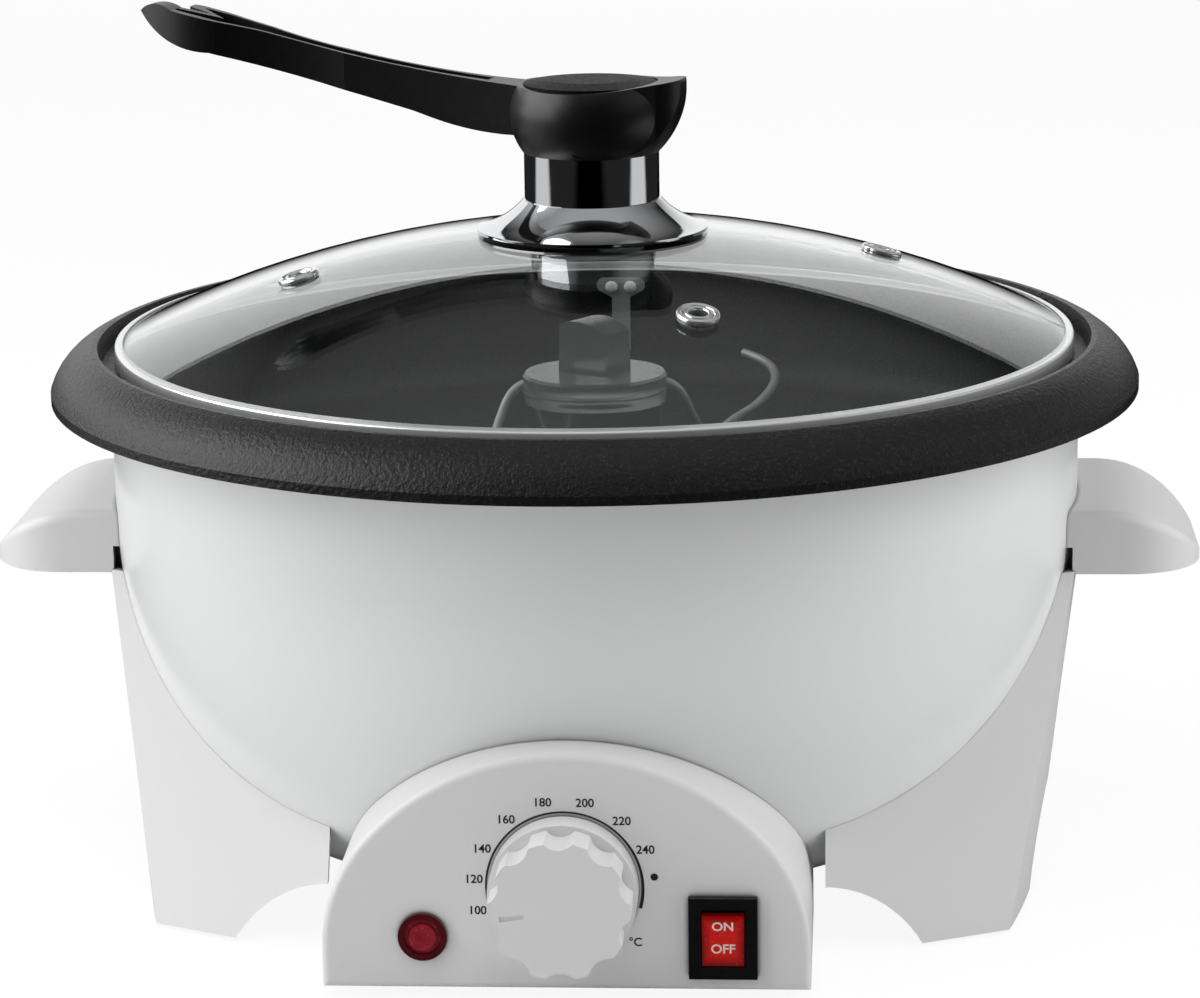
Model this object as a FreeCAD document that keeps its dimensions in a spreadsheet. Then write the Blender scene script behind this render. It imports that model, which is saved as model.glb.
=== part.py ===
import FreeCAD, Part
import math
import os
import Sketcher
from FreeCAD import Placement, Rotation, Vector

# Home coffee bean roaster, in millimetres. +Z is up, the control panel faces -Y, and the
# origin is on the stirrer's axis at the level that the feet stand on.
#
# A white bowl holds a cast pan with a wide black flange. A gear motor under the pan turns a
# wire stirrer, a glass lid rests in the flange, and two mouldings are handles and legs at once.

SIZES = {
    # fits
    "gap": 0.3,                    # free space between pieces that move past each other
    "seat": 0.05,                  # space between pieces that are fixed together
    # outer bowl
    "bowl_radius": 142.5,
    "bowl_straight_end": 104.0,    # height where the wall starts to lean in
    "bowl_side_radius": 149.0,
    "bowl_side_angle": 28.0,
    "bowl_corner_radius": 49.0,
    "bowl_wall": 1.2,
    "bowl_flange": 9.8,            # width of the flat flange under the bowl
    # pan
    "pan_inset": 6.5,              # from the bowl's outside in to the pan's inside
    "rim_overhang": 17.5,          # from the bowl's outside out to the flange's edge
    "rim_height": 138.0,           # lower edge of the flange
    "rim_edge": 2.6,
    "rim_arch": 19.0,
    "ledge_width": 10.1,           # from the pan's inside out to the lip
    "lip_width": 1.5,
    "lip_rise": 14.7,
    "ledge_drop": 5.3,
    "pan_floor": 110.0,
    "pan_wall": 2.6,
    "pan_corner": 10.0,
    "boss_radius": 11.0,
    "boss_rise": 7.0,
    # lid
    "dome_radius": 326.0,
    "lid_inset": 6.5,              # from the lip in to the glass
    "glass_wall": 4.0,
    "band_wall": 0.6,
    "band_width": 4.2,
    "vent_circle": 87.0,
    "vent_left": -166.0,           # where each vent is round the lid, in degrees
    "vent_front": -67.0,
    "vent_right": 13.0,
    "vent_back": 104.0,
    "vent_bore": 1.6,
    "vent_flange": 6.2,
    "vent_hole": 3.6,
    "flange_radius": 34.0,
    "flange_rise": 9.0,
    "flange_arch": 24.0,
    "flange_wall": 0.8,
    "gasket_rise": 0.3,
    "collar_radius": 19.8,
    "collar_wall": 0.8,
    "collar_height": 13.9,
    "stem_radius": 8.0,
    "lid_screw_radius": 2.5,
    "lid_washer_radius": 13.0,
    # lid handle
    "knob_top_radius": 28.2,
    "knob_height": 22.4,
    "saddle_radius": 200.0,
    "saddle_drop": 3.2,
    "cap_radius": 19.6,
    "cap_height": 2.4,
    "cap_rise": 1.0,
    "lever_turn": -11.2,
    "lever_length": 137.4,
    "lever_rise": 17.9,
    "lever_root_height": 16.5,
    "lever_half_width": 10.2,
    "lever_waist": 4.4,
    "lever_channel": 4.0,
    # legs and handles
    "foot_inner_inset": 46.7,      # the flank's front line at the floor, in from the bowl's radius
    "foot_inner_setback": 33.7,
    "foot_outer_inset": 22.5,
    "foot_outer_setback": 45.2,
    "flank_tilt": 27.5,
    "leg_inner_inset": 73.5,
    "leg_height": 83.0,
    "crease_run": 19.0,            # how far the crease leans out over the leg's height
    "leg_side_bulge": 12.0,
    "leg_side_flattening": 0.72,
    "leg_wall": 2.4,
    "arch_height": 18.0,
    "side_arch_height": 26.0,
    "side_arch_half": 62.0,
    "ear_reach": 177.7,
    "ear_half_depth": 36.0,
    "ear_bottom": 88.0,
    "ear_top": 106.0,
    "ear_corner": 22.0,
    "ear_edge": 3.0,
    "ear_lip": 3.0,
    "ear_arch": 34.0,
    "relief_width": 1.8,
    "relief_height": 7.0,
    "foot_pad": 1.0,
    "foot_pad_radius": 5.0,
    "foot_pad_inset": 10.0,
    "foot_pad_setback": 9.0,
    "leg_screw_z": 62.0,
    "leg_screw_y": 24.0,
    # control housing
    "panel_reach": 9.5,            # how far the panel stands in front of the bowl
    "panel_half": 65.5,
    "panel_bottom": 3.0,
    "panel_spring": 14.0,
    "panel_rise": 54.7,
    "panel_side_radius": 46.0,
    "panel_depth": 62.0,
    "panel_wall": 2.5,
    "panel_edge": 2.0,
    # controls
    "dial_height": 32.0,
    "dial_radius": 19.9,
    "dial_skirt": 8.0,
    "dial_reach": 19.5,
    "dial_grip": 18.9,
    "dial_lobes": 10,
    "dial_pointer": 188.0,
    "spindle_radius": 3.0,
    "lamp_x": 38.1,
    "lamp_z": 18.0,
    "lamp_radius": 6.6,
    "lamp_lens": 4.9,
    "switch_x": 42.2,
    "switch_z": 18.4,
    "switch_width": 18.3,
    "switch_height": 22.6,
    "rocker_width": 11.2,
    "rocker_height": 15.6,
    "rocker_rest": 9.0,
    # drive
    "shaft_radius": 4.0,
    "shaft_rise": 10.0,            # above the pan's boss
    "bush_wall": 2.5,
    "gearbox_radius": 30.0,
    "gearbox_top": 86.0,
    "gearbox_height": 24.0,
    "motor_radius": 20.0,
    "motor_height": 34.0,
    "bracket_wall": 1.5,
    "rod_circle": 64.0,
    "rod_radius": 2.5,
    # stirrer
    "hub_radius": 21.4,
    "hub_rise": 14.0,              # above the pan's boss
    "hub_height": 8.5,
    "skirt_radius": 20.0,
    "grip_rise": 15.8,
    "grip_width": 13.0,
    "grip_length": 17.0,
    "wire_radius": 1.4,
    "wire_clearance": 2.0,         # over the pan's floor
    "wire_tip_inset": 13.4,        # from the pan's wall
    # heating
    "element_circle": 84.0,
    "element_radius": 4.0,
    "reflector_radius": 112.0,
    "reflector_z": 91.0,
    # base
    "cover_lap": 8.0,
    "cover_wall": 1.5,
    "screw_radius": 2.0,
    "slot_count": 16,
    "slot_width": 4.0,
    "slot_start": 28.0,
    "slot_end": 52.0,
    # cord inlet
    "cord_height": 44.0,
    "cord_hole": 5.0,
    "cord_bore": 2.6,
    "wire_hole": 11.0,
}

doc = FreeCAD.newDocument("coffee_roaster")
sheet = doc.addObject("Spreadsheet::Sheet", "Sizes")
for row, (alias, number) in enumerate(SIZES.items(), 1):
    sheet.set("A%d" % row, alias)
    sheet.set("B%d" % row, str(number))
    sheet.setAlias("B%d" % row, alias)
doc.recompute()


class Size:
    """A length or an angle in degrees, together with the formula that the document keeps."""

    def __init__(self, value, text):
        self.value = float(value)
        self.text = text

    def __add__(self, other):
        other = as_size(other)
        return Size(self.value + other.value, "(%s + %s)" % (self.text, other.text))

    def __sub__(self, other):
        other = as_size(other)
        return Size(self.value - other.value, "(%s - %s)" % (self.text, other.text))

    def __mul__(self, other):
        other = as_size(other)
        return Size(self.value * other.value, "(%s * %s)" % (self.text, other.text))

    def __truediv__(self, other):
        other = as_size(other)
        return Size(self.value / other.value, "(%s / %s)" % (self.text, other.text))

    def __radd__(self, other):
        return as_size(other) + self

    def __rsub__(self, other):
        return as_size(other) - self

    def __rmul__(self, other):
        return as_size(other) * self

    def __neg__(self):
        return as_size(0) - self


class SizeTable:
    """Gives each named size of the spreadsheet as an attribute."""

    def __getattr__(self, alias):
        return Size(SIZES[alias], "Sizes." + alias)


def as_size(number):
    return number if isinstance(number, Size) else Size(number, "(%r)" % float(number))


def root(size):
    return Size(math.sqrt(size.value), "sqrt(%s)" % size.text)


def smaller(one, other):
    one, other = as_size(one), as_size(other)
    return Size(min(one.value, other.value), "min(%s; %s)" % (one.text, other.text))


def cosine(angle):
    angle = as_size(angle)
    return Size(math.cos(math.radians(angle.value)), "cos(%s)" % angle.text)


def sine(angle):
    angle = as_size(angle)
    return Size(math.sin(math.radians(angle.value)), "sin(%s)" % angle.text)


def tangent(angle):
    return sine(angle) / cosine(angle)


S = SizeTable()
nodes = []


def keep(piece, label):
    """Names a finished piece. Its label is also the name of its file."""
    piece.Label = label
    nodes.append(piece)
    return piece


def bind(piece, prop, size):
    piece.setExpression(prop, as_size(size).text)


# ---------------------------------------------------------------- sketches and features

class Bend:
    """Between two corners of an outline: an arc of this radius, turning left or right."""

    def __init__(self, radius, turn):
        self.radius = as_size(radius)
        self.turn = turn


def left(radius):
    return Bend(radius, 1)


def right(radius):
    return Bend(radius, -1)


def arc_edge(start, end, bend):
    """The arc from start to end, and whether the sketch keeps it the other way round."""
    radius = bend.radius.value
    chord = end - start
    half = chord.Length / 2
    to_centre = Vector(-chord.y, chord.x, 0).normalize() * bend.turn
    centre = (start + end) / 2 + to_centre * math.sqrt(max(radius ** 2 - half ** 2, 0))
    first, last = (start, end) if bend.turn > 0 else (end, start)
    angles = [math.atan2(p.y - centre.y, p.x - centre.x) for p in (first, last)]
    circle = Part.Circle(centre, Vector(0, 0, 1), radius)
    return Part.ArcOfCircle(circle, angles[0], angles[1]), bend.turn < 0


def draw(sketch, outline):
    """Draws a closed outline of corners (x, y), with a Bend between those that an arc joins."""
    corners = [item for item in outline if not isinstance(item, Bend)]
    bends = {}
    for index, item in enumerate(outline):
        if isinstance(item, Bend):
            before = [i for i in outline[:index] if not isinstance(i, Bend)]
            bends[len(before) - 1] = item
    corners = [(as_size(x), as_size(y)) for x, y in corners]
    places = [Vector(x.value, y.value, 0) for x, y in corners]
    starts = []
    for number, place in enumerate(places):
        following = places[(number + 1) % len(places)]
        if number in bends:
            edge, backwards = arc_edge(place, following, bends[number])
        else:
            edge, backwards = Part.LineSegment(place, following), False
        index = sketch.addGeometry(edge)
        starts.append((index, 2, 1) if backwards else (index, 1, 2))
    for number, (index, start, end) in enumerate(starts):
        following = starts[(number + 1) % len(starts)]
        sketch.addConstraint(
            Sketcher.Constraint("Coincident", index, end, following[0], following[1]))
    for number, (x, y) in enumerate(corners):
        index, start, end = starts[number]
        for kind, size in (("DistanceX", x), ("DistanceY", y)):
            rule = sketch.addConstraint(
                Sketcher.Constraint(kind, -1, 1, index, start, size.value))
            bind(sketch, "Constraints[%d]" % rule, size)
    for number, bend in bends.items():
        rule = sketch.addConstraint(
            Sketcher.Constraint("Radius", starts[number][0], bend.radius.value))
        bind(sketch, "Constraints[%d]" % rule, bend.radius)


def draw_circle(sketch, x, y, radius):
    x, y, radius = as_size(x), as_size(y), as_size(radius)
    index = sketch.addGeometry(
        Part.Circle(Vector(x.value, y.value, 0), Vector(0, 0, 1), radius.value))
    rules = (("DistanceX", x), ("DistanceY", y))
    for kind, size in rules:
        rule = sketch.addConstraint(Sketcher.Constraint(kind, -1, 1, index, 3, size.value))
        bind(sketch, "Constraints[%d]" % rule, size)
    rule = sketch.addConstraint(Sketcher.Constraint("Radius", index, radius.value))
    bind(sketch, "Constraints[%d]" % rule, radius)


def new_sketch(body, name, plane, offset=0):
    """A sketch on one of the body's own origin planes, lifted off it by offset."""
    sketch = body.newObject("Sketcher::SketchObject", name)
    support = [f for f in body.Origin.OriginFeatures if f.Role == plane][0]
    sketch.AttachmentSupport = [(support, "")]
    sketch.MapMode = "FlatFace"
    bind(sketch, "AttachmentOffset.Base.z", offset)
    return sketch


def revolved(name, outline):
    """A body turned about the Z axis from an outline of (radius, height) corners."""
    body = doc.addObject("PartDesign::Body", name)
    sketch = new_sketch(body, name + "_section", "XZ_Plane")
    draw(sketch, outline)
    turn = body.newObject("PartDesign::Revolution", name + "_turn")
    turn.Profile = (sketch, [""])
    turn.ReferenceAxis = (sketch, ["V_Axis"])
    turn.Angle = 360
    return body


def padded(name, plane, outlines, length, offset=0, both_ways=False, circles=()):
    """A body pushed out from one or more outlines on an origin plane."""
    body = doc.addObject("PartDesign::Body", name)
    sketch = new_sketch(body, name + "_outline", plane, offset)
    for outline in outlines:
        draw(sketch, outline)
    for x, y, radius in circles:
        draw_circle(sketch, x, y, radius)
    pad = body.newObject("PartDesign::Pad", name + "_pad")
    pad.Profile = (sketch, [""])
    pad.SideType = "Symmetric" if both_ways else "One side"
    bind(pad, "Length", length)
    return body


def cylinder(name, radius, height, x=0, y=0, z=0, axis="z"):
    piece = doc.addObject("Part::Cylinder", name)
    bind(piece, "Radius", radius)
    bind(piece, "Height", height)
    turns = {"z": Rotation(), "x": Rotation(Vector(0, 1, 0), 90),
             "y": Rotation(Vector(1, 0, 0), -90)}
    piece.Placement = Placement(Vector(), turns[axis])
    place(piece, x, y, z)
    return piece


def box(name, length, width, height, x, y, z):
    """A box centred on x and y that stands on z."""
    piece = doc.addObject("Part::Box", name)
    bind(piece, "Length", length)
    bind(piece, "Width", width)
    bind(piece, "Height", height)
    place(piece, as_size(x) - as_size(length) / 2, as_size(y) - as_size(width) / 2, z)
    return piece


def place(piece, x, y, z):
    bind(piece, "Placement.Base.x", x)
    bind(piece, "Placement.Base.y", y)
    bind(piece, "Placement.Base.z", z)


def joined(kind, name, pieces):
    piece = doc.addObject(kind, name)
    if kind == "Part::Compound":
        piece.Links = list(pieces)
    else:
        piece.Shapes = list(pieces)
    return piece


def group(name, pieces):
    return joined("Part::Compound", name, pieces)


def fused(name, pieces):
    return joined("Part::MultiFuse", name, pieces)


def common(name, pieces):
    return joined("Part::MultiCommon", name, pieces)


def cut(name, base, tools):
    piece = doc.addObject("Part::Cut", name)
    piece.Base = base
    piece.Tool = tools[0] if len(tools) == 1 else fused(name + "_tools", tools)
    return piece


def softened(name, base, radius, wanted):
    """Rounds those edges of base whose two faces, first and second, wanted accepts."""
    doc.recompute()
    piece = doc.addObject("Part::Fillet", name)
    piece.Base = base
    chosen = []
    for number, edge in enumerate(base.Shape.Edges, 1):
        faces = [f for f in base.Shape.Faces if any(edge.isSame(e) for e in f.Edges)]
        if len(faces) == 2 and wanted(faces[0], faces[1]):
            chosen.append((number, radius.value, radius.value))
    piece.Edges = chosen
    return piece


def facing(face, direction):
    """How far the middle of a face looks along a direction, from -1 to 1."""
    low_u, high_u, low_v, high_v = face.ParameterRange
    return face.normalAt((low_u + high_u) / 2, (low_v + high_v) / 2).dot(direction)


def screw(name, radius, length, head, x, y, z, axis="z", turn=1):
    """A screw whose head's underside is at the given place; it points along turn * axis."""
    tip = as_size(length) if turn > 0 else -as_size(length)
    start = {"x": x, "y": y, "z": z}
    shank_at = dict(start)
    head_at = dict(start)
    if turn < 0:
        shank_at[axis] = start[axis] + tip
    else:
        head_at[axis] = start[axis] - head
    return fused(name, [
        cylinder(name + "_shank", radius, length, shank_at["x"], shank_at["y"], shank_at["z"], axis),
        cylinder(name + "_head", radius * 1.8, head, head_at["x"], head_at["y"], head_at["z"],
                 axis)])


def nut(name, bore, height, x, y, z):
    """A hexagonal nut on a rod, standing on z."""
    blank = doc.addObject("Part::Prism", name + "_blank")
    bind(blank, "Circumradius", bore * 2)
    bind(blank, "Height", height)
    place(blank, x, y, z)
    return cut(name, blank, [cylinder(name + "_bore", bore + S.seat, height + 2, x, y, z - 1)])


def bent_rod(places, radius):
    """A round rod or tube that follows a smooth curve through the places."""
    curve = Part.BSplineCurve()
    curve.interpolate(places)
    start, direction = curve.value(0), curve.tangent(0)[0]
    ring = Part.Wire(Part.makeCircle(radius, start, direction))
    return Part.Wire(curve.toShape()).makePipeShell([ring], True, True)


def around(count, first=0.0):
    """The angles of count places spread evenly round a circle."""
    return [first + 360.0 * number / count for number in range(count)]


# The circles that fit into each other all follow the bowl's radius.
pan_radius = S.bowl_radius - S.pan_inset
lip_radius = pan_radius + S.ledge_width
rim_radius = S.bowl_radius + S.rim_overhang
glass_radius = lip_radius - S.lid_inset
panel_y = S.bowl_radius + S.panel_reach

# ---------------------------------------------------------------- outer bowl
# Pressed steel bowl, powder coated white. Its wall leans in below a straight neck and turns
# under to a flange that the bottom cover is screwed to.

def bowl_curve(grow):
    """Corners and arcs of the bowl's outside, grown by grow, from the bottom upwards."""
    side_x = S.bowl_radius - S.bowl_side_radius
    side = S.bowl_side_radius + grow
    inset = S.bowl_side_radius - S.bowl_corner_radius
    corner_x = side_x + inset * cosine(S.bowl_side_angle)
    corner_z = S.bowl_straight_end - inset * sine(S.bowl_side_angle)
    corner = S.bowl_corner_radius + grow
    low = (corner_x, corner_z - corner)
    turn = (side_x + side * cosine(S.bowl_side_angle),
            S.bowl_straight_end - side * sine(S.bowl_side_angle))
    high = (S.bowl_radius + grow, S.bowl_straight_end)
    return low, corner, turn, side, high


bowl_low, bowl_corner, bowl_turn, bowl_side, bowl_high = bowl_curve(as_size(0))
bowl_floor = bowl_low[1]
bowl_opening = bowl_low[0] - S.bowl_flange
flange_underside = S.rim_height + S.rim_edge
bowl_top = flange_underside - S.seat

inner_low, inner_corner, inner_turn, inner_side, inner_high = bowl_curve(-S.bowl_wall)
bowl_blank = revolved("bowl_blank", [
    (bowl_opening, bowl_floor), bowl_low, left(bowl_corner), bowl_turn, left(bowl_side),
    bowl_high, (S.bowl_radius, bowl_top), (S.bowl_radius - S.bowl_wall, bowl_top),
    inner_high, right(inner_side), inner_turn, right(inner_corner), inner_low,
    (bowl_opening, inner_low[1])])

bowl_holes = [
    cylinder("cord_opening", S.cord_hole, 60, 0, S.bowl_radius - 40, S.cord_height, "y"),
    cylinder("wiring_opening", S.wire_hole, 60, 0, -S.bowl_radius - 20, S.dial_height, "y")]
leg_boss_length = as_size(18)
leg_boss_end = S.bowl_radius - 22
for number, (side_x, side_y) in enumerate(((-1, -1), (-1, 1), (1, -1), (1, 1))):
    bowl_holes.append(cylinder(
        "leg_screw_way_%d" % number, S.screw_radius + S.seat, leg_boss_length * 2,
        side_x * (leg_boss_end + leg_boss_length) - leg_boss_length,
        side_y * S.leg_screw_y, S.leg_screw_z, "x"))
cover_places = []
cover_radius = bowl_opening + S.cover_lap
cover_screw_circle = bowl_opening + S.cover_lap / 2
for angle in around(4, 45):
    cover_places.append((cover_screw_circle * cosine(angle), cover_screw_circle * sine(angle)))
for number, (x, y) in enumerate(cover_places):
    bowl_holes.append(cylinder("cover_screw_way_%d" % number, S.screw_radius + S.seat, 8,
                               x, y, bowl_floor - 3))
bowl_shell = keep(cut("bowl_shell_cut", bowl_blank, bowl_holes), "bowl_shell")

# A tool that cuts away what would be inside the bowl, for the pieces that fit against it.
room_low, room_corner, room_turn, room_side, room_high = bowl_curve(S.seat)
bowl_room = revolved("bowl_room", [
    (0, room_low[1]), room_low, left(room_corner), room_turn, left(room_side), room_high,
    (S.bowl_radius + S.seat, S.rim_height), (0, S.rim_height)])

# ---------------------------------------------------------------- pan
# Cast aluminium pan with a dark non-stick coat. The wide flange hangs over the bowl, the ledge
# inside its lip carries the lid, and the boss in the middle lets the shaft through.

lip_height = S.rim_height + S.lip_rise
ledge_height = lip_height - S.ledge_drop
pan_outer = pan_radius + S.pan_wall
pan_base = S.pan_floor - S.pan_wall
floor_edge = pan_radius - S.pan_corner
boss_top = S.pan_floor + S.boss_rise
boss_bore = S.shaft_radius + S.bush_wall + S.seat
lid_room = lip_radius - 1.3
cooking_pan = keep(revolved("cooking_pan_body", [
    (boss_bore, pan_base), (floor_edge, pan_base), left(S.pan_corner + S.pan_wall),
    (pan_outer, S.pan_floor + S.pan_corner), (pan_outer, flange_underside),
    (rim_radius - S.rim_edge * 1.6, flange_underside),
    (rim_radius - S.rim_edge, S.rim_height), (rim_radius, S.rim_height),
    (rim_radius, S.rim_height + S.rim_edge), left(S.rim_arch),
    (lip_radius + S.lip_width, lip_height), (lip_radius, lip_height),
    (lid_room, ledge_height), (pan_radius, ledge_height),
    (pan_radius, S.pan_floor + S.pan_corner), right(S.pan_corner),
    (floor_edge, S.pan_floor), (S.boss_radius, S.pan_floor), (S.boss_radius, boss_top),
    (boss_bore, boss_top)]), "cooking_pan")

# ---------------------------------------------------------------- baffle on the pan's back wall
# A steel strip with a rounded head, held by two rivets, that turns the beans over.

baffle_width = as_size(6)
baffle_wall = as_size(1.2)
baffle_head_z = ledge_height - 5.2
rivet_spread = as_size(3.1)
rivet_radius = as_size(1.9)
baffle_y = pan_radius - 1.2
baffle_blank = padded("baffle_blank", "XZ_Plane", [[
    (-baffle_width / 2, S.pan_floor + S.pan_corner * 0.45),
    (baffle_width / 2, S.pan_floor + S.pan_corner * 0.45),
    (baffle_width / 2, baffle_head_z - 3.6), (7.2, baffle_head_z - 1.2),
    left(2.6), (6.0, baffle_head_z + 3.2), (-6.0, baffle_head_z + 3.2), left(2.6),
    (-7.2, baffle_head_z - 1.2), (-baffle_width / 2, baffle_head_z - 3.6)]],
    as_size(30), -baffle_y - 10)
baffle_shell = revolved("baffle_shell", [
    (pan_radius - S.seat, S.pan_floor + S.pan_corner),
    (pan_radius - S.seat, ledge_height), (pan_radius - S.seat - baffle_wall, ledge_height),
    (pan_radius - S.seat - baffle_wall, S.pan_floor + S.pan_corner)])
baffle_strip = keep(common("baffle_strip_cut", [baffle_blank, baffle_shell]), "baffle_strip")
rivets = []
for side in (-1, 1):
    rivets.append(cylinder("rivet_%d" % (side + 2), rivet_radius, 0.9, side * rivet_spread,
                           pan_radius - S.seat - baffle_wall - 1.0, baffle_head_z, "y"))
baffle_rivets = keep(group("baffle_rivets_group", rivets), "baffle_rivets")

# ---------------------------------------------------------------- lid glass and its steel band
# Tempered glass cap of a sphere. The rolled band grips its edge and rests on the pan's ledge.

band_bottom = ledge_height + S.gap
glass_inner = S.dome_radius - S.glass_wall
edge_low = band_bottom + S.band_wall + S.seat
dome_centre = edge_low - root(glass_inner * glass_inner - glass_radius * glass_radius)


def dome_height(radius, sphere):
    return dome_centre + root(sphere * sphere - radius * radius)


glass_hole = S.lid_screw_radius + S.gap
lid_glass = revolved("lid_glass_body", [
    (glass_hole, dome_height(glass_hole, glass_inner)), right(glass_inner),
    (glass_radius, edge_low),
    (glass_radius, dome_height(glass_radius, S.dome_radius)), left(S.dome_radius),
    (glass_hole, dome_height(glass_hole, S.dome_radius))])
vent_turns = (S.vent_left, S.vent_front, S.vent_right, S.vent_back)
vent_sketch = new_sketch(lid_glass, "vent_places", "XY_Plane")
for vent_turn in vent_turns:
    draw_circle(vent_sketch, S.vent_circle * cosine(vent_turn),
                S.vent_circle * sine(vent_turn), S.vent_hole)
vent_pocket = lid_glass.newObject("PartDesign::Pocket", "vent_pocket")
vent_pocket.Profile = (vent_sketch, [""])
vent_pocket.Type = "ThroughAll"
vent_pocket.Reversed = True
keep(lid_glass, "lid_glass")

band_inner = glass_radius + 0.4
band_outer = band_inner + S.band_wall + 0.4
leg_radius = band_outer - S.band_width
band_lift = S.seat * 2
lid_rim_band = keep(revolved("lid_rim_band_body", [
    (leg_radius, band_bottom), (band_outer, band_bottom),
    (band_outer, dome_height(glass_radius, S.dome_radius) + S.band_wall),
    (leg_radius, dome_height(leg_radius, S.dome_radius) + S.band_wall + band_lift),
    (leg_radius, dome_height(leg_radius, S.dome_radius) + band_lift),
    (band_inner, dome_height(glass_radius, S.dome_radius) + band_lift),
    (band_inner, band_bottom + S.band_wall), (leg_radius, band_bottom + S.band_wall)]),
    "lid_rim_band")

# ---------------------------------------------------------------- steam vents
# Steel eyelets rolled over both faces of the glass.

grommets = []
for number, vent_turn in enumerate(vent_turns):
    tag = "vent_%d" % number
    neck = S.glass_wall + 1.6
    eyelet = cut(tag, fused(tag + "_rim", [
        cylinder(tag + "_neck", S.vent_hole - 1.2, neck, 0, 0, -0.8),
        cylinder(tag + "_top", S.vent_flange, 0.8, 0, 0, S.glass_wall + S.seat),
        cylinder(tag + "_under", S.vent_flange - 1, 0.8, 0, 0, -0.8 - S.seat)]),
        [cylinder(tag + "_bore", S.vent_bore, neck + 4, 0, 0, -2)])
    lean = math.degrees(math.asin(SIZES["vent_circle"] / SIZES["dome_radius"]))
    spin = Rotation(Vector(0, 0, 1), vent_turn.value) * Rotation(Vector(0, 1, 0), lean)
    foot = spin.multVec(Vector(0, 0, glass_inner.value))
    eyelet.Placement = Placement(foot + Vector(0, 0, dome_centre.value), spin)
    grommets.append(eyelet)
lid_vent_grommets = keep(group("lid_vent_grommets_group", grommets), "lid_vent_grommets")

# ---------------------------------------------------------------- centre of the lid
# Gasket, flared chrome flange, chrome collar, and the washer and screw under the glass.

gasket_top = dome_height(S.flange_radius - 5, S.dome_radius) + S.gasket_rise
gasket_radius = S.flange_radius - 1.5
gasket_inner = S.flange_radius - 7
lid_gasket = keep(revolved("lid_gasket_body", [
    (gasket_inner, dome_height(gasket_inner, S.dome_radius) + S.seat), right(S.dome_radius),
    (gasket_radius, dome_height(gasket_radius, S.dome_radius) + S.seat),
    (gasket_radius, gasket_top), (gasket_inner, gasket_top)]), "lid_gasket")

flange_foot = gasket_top + S.seat
flange_top = flange_foot + S.flange_rise
flange_neck = S.collar_radius + 0.5
stem_hole = S.stem_radius + S.seat
lid_flange = keep(revolved("lid_flange_body", [
    (S.flange_radius, flange_foot), (S.flange_radius, flange_foot + S.flange_wall),
    right(S.flange_arch), (flange_neck, flange_top), (stem_hole, flange_top),
    (stem_hole, flange_top - S.flange_wall),
    (flange_neck - S.flange_wall, flange_top - S.flange_wall),
    left(S.flange_arch + S.flange_wall), (S.flange_radius - 1.6, flange_foot)]), "lid_flange")

collar_top = flange_top + S.collar_height
collar_inner = S.collar_radius - S.collar_wall
lid_collar = keep(revolved("lid_collar_body", [
    (collar_inner, flange_top + S.seat), (S.collar_radius, flange_top + S.seat),
    (S.collar_radius, collar_top), (collar_inner, collar_top)]), "lid_collar")

stem_bottom = dome_height(glass_hole, S.dome_radius) + S.seat
washer_top = dome_height(S.lid_washer_radius, glass_inner) - S.seat
lid_washer = keep(revolved("lid_washer_body", [
    (glass_hole, washer_top - 1.2), (S.lid_washer_radius, washer_top - 1.2),
    (S.lid_washer_radius, washer_top), (glass_hole, washer_top)]), "lid_washer")

screw_seat = washer_top - 1.2 - S.seat
screw_bore = S.lid_screw_radius + S.seat
screw_depth = as_size(20)
lid_screw = keep(revolved("lid_screw_body", [
    (0, screw_seat - 2.6), (2.6, screw_seat - 2.6), (5, screw_seat - 1.2), (5, screw_seat),
    (S.lid_screw_radius, screw_seat), (S.lid_screw_radius, stem_bottom + screw_depth),
    (0, stem_bottom + screw_depth)]), "lid_screw")

# ---------------------------------------------------------------- lid handle
# One black phenolic moulding: a cup-shaped knob with a saddle top and a beak, and a long lever
# with a channel along its top, whose forked end lets the lid stand up by itself.

knob_base = collar_top + S.seat
knob_top = knob_base + S.knob_height
knob_waist = S.collar_radius + 0.2
barrel_top = knob_waist + 1.3
knob_barrel = revolved("knob_barrel", [
    (screw_bore, stem_bottom), (S.stem_radius, stem_bottom), (S.stem_radius, knob_base),
    (knob_waist, knob_base), left(18), (barrel_top, knob_top - 2.5), (barrel_top - 0.4, knob_top),
    (0, knob_top), (0, stem_bottom + screw_depth + S.gap),
    (screw_bore, stem_bottom + screw_depth + S.gap)])
beak_flare = revolved("beak_flare", [
    (S.stem_radius, knob_base), (knob_waist, knob_base), left(27.6),
    (S.knob_top_radius, knob_top - 1.5), (S.knob_top_radius - 0.4, knob_top),
    (S.stem_radius, knob_top)])
beak_plan = padded("beak_plan", "XY_Plane", [[
    (0, -barrel_top), left(60), (S.knob_top_radius - 6.4, -9.5), left(10),
    (S.knob_top_radius - 6.4, 9.5), left(60), (0, barrel_top)]], 40, knob_base - 5)
knob_blank = fused("knob_blank", [knob_barrel, common("knob_beak", [beak_flare, beak_plan])])

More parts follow.
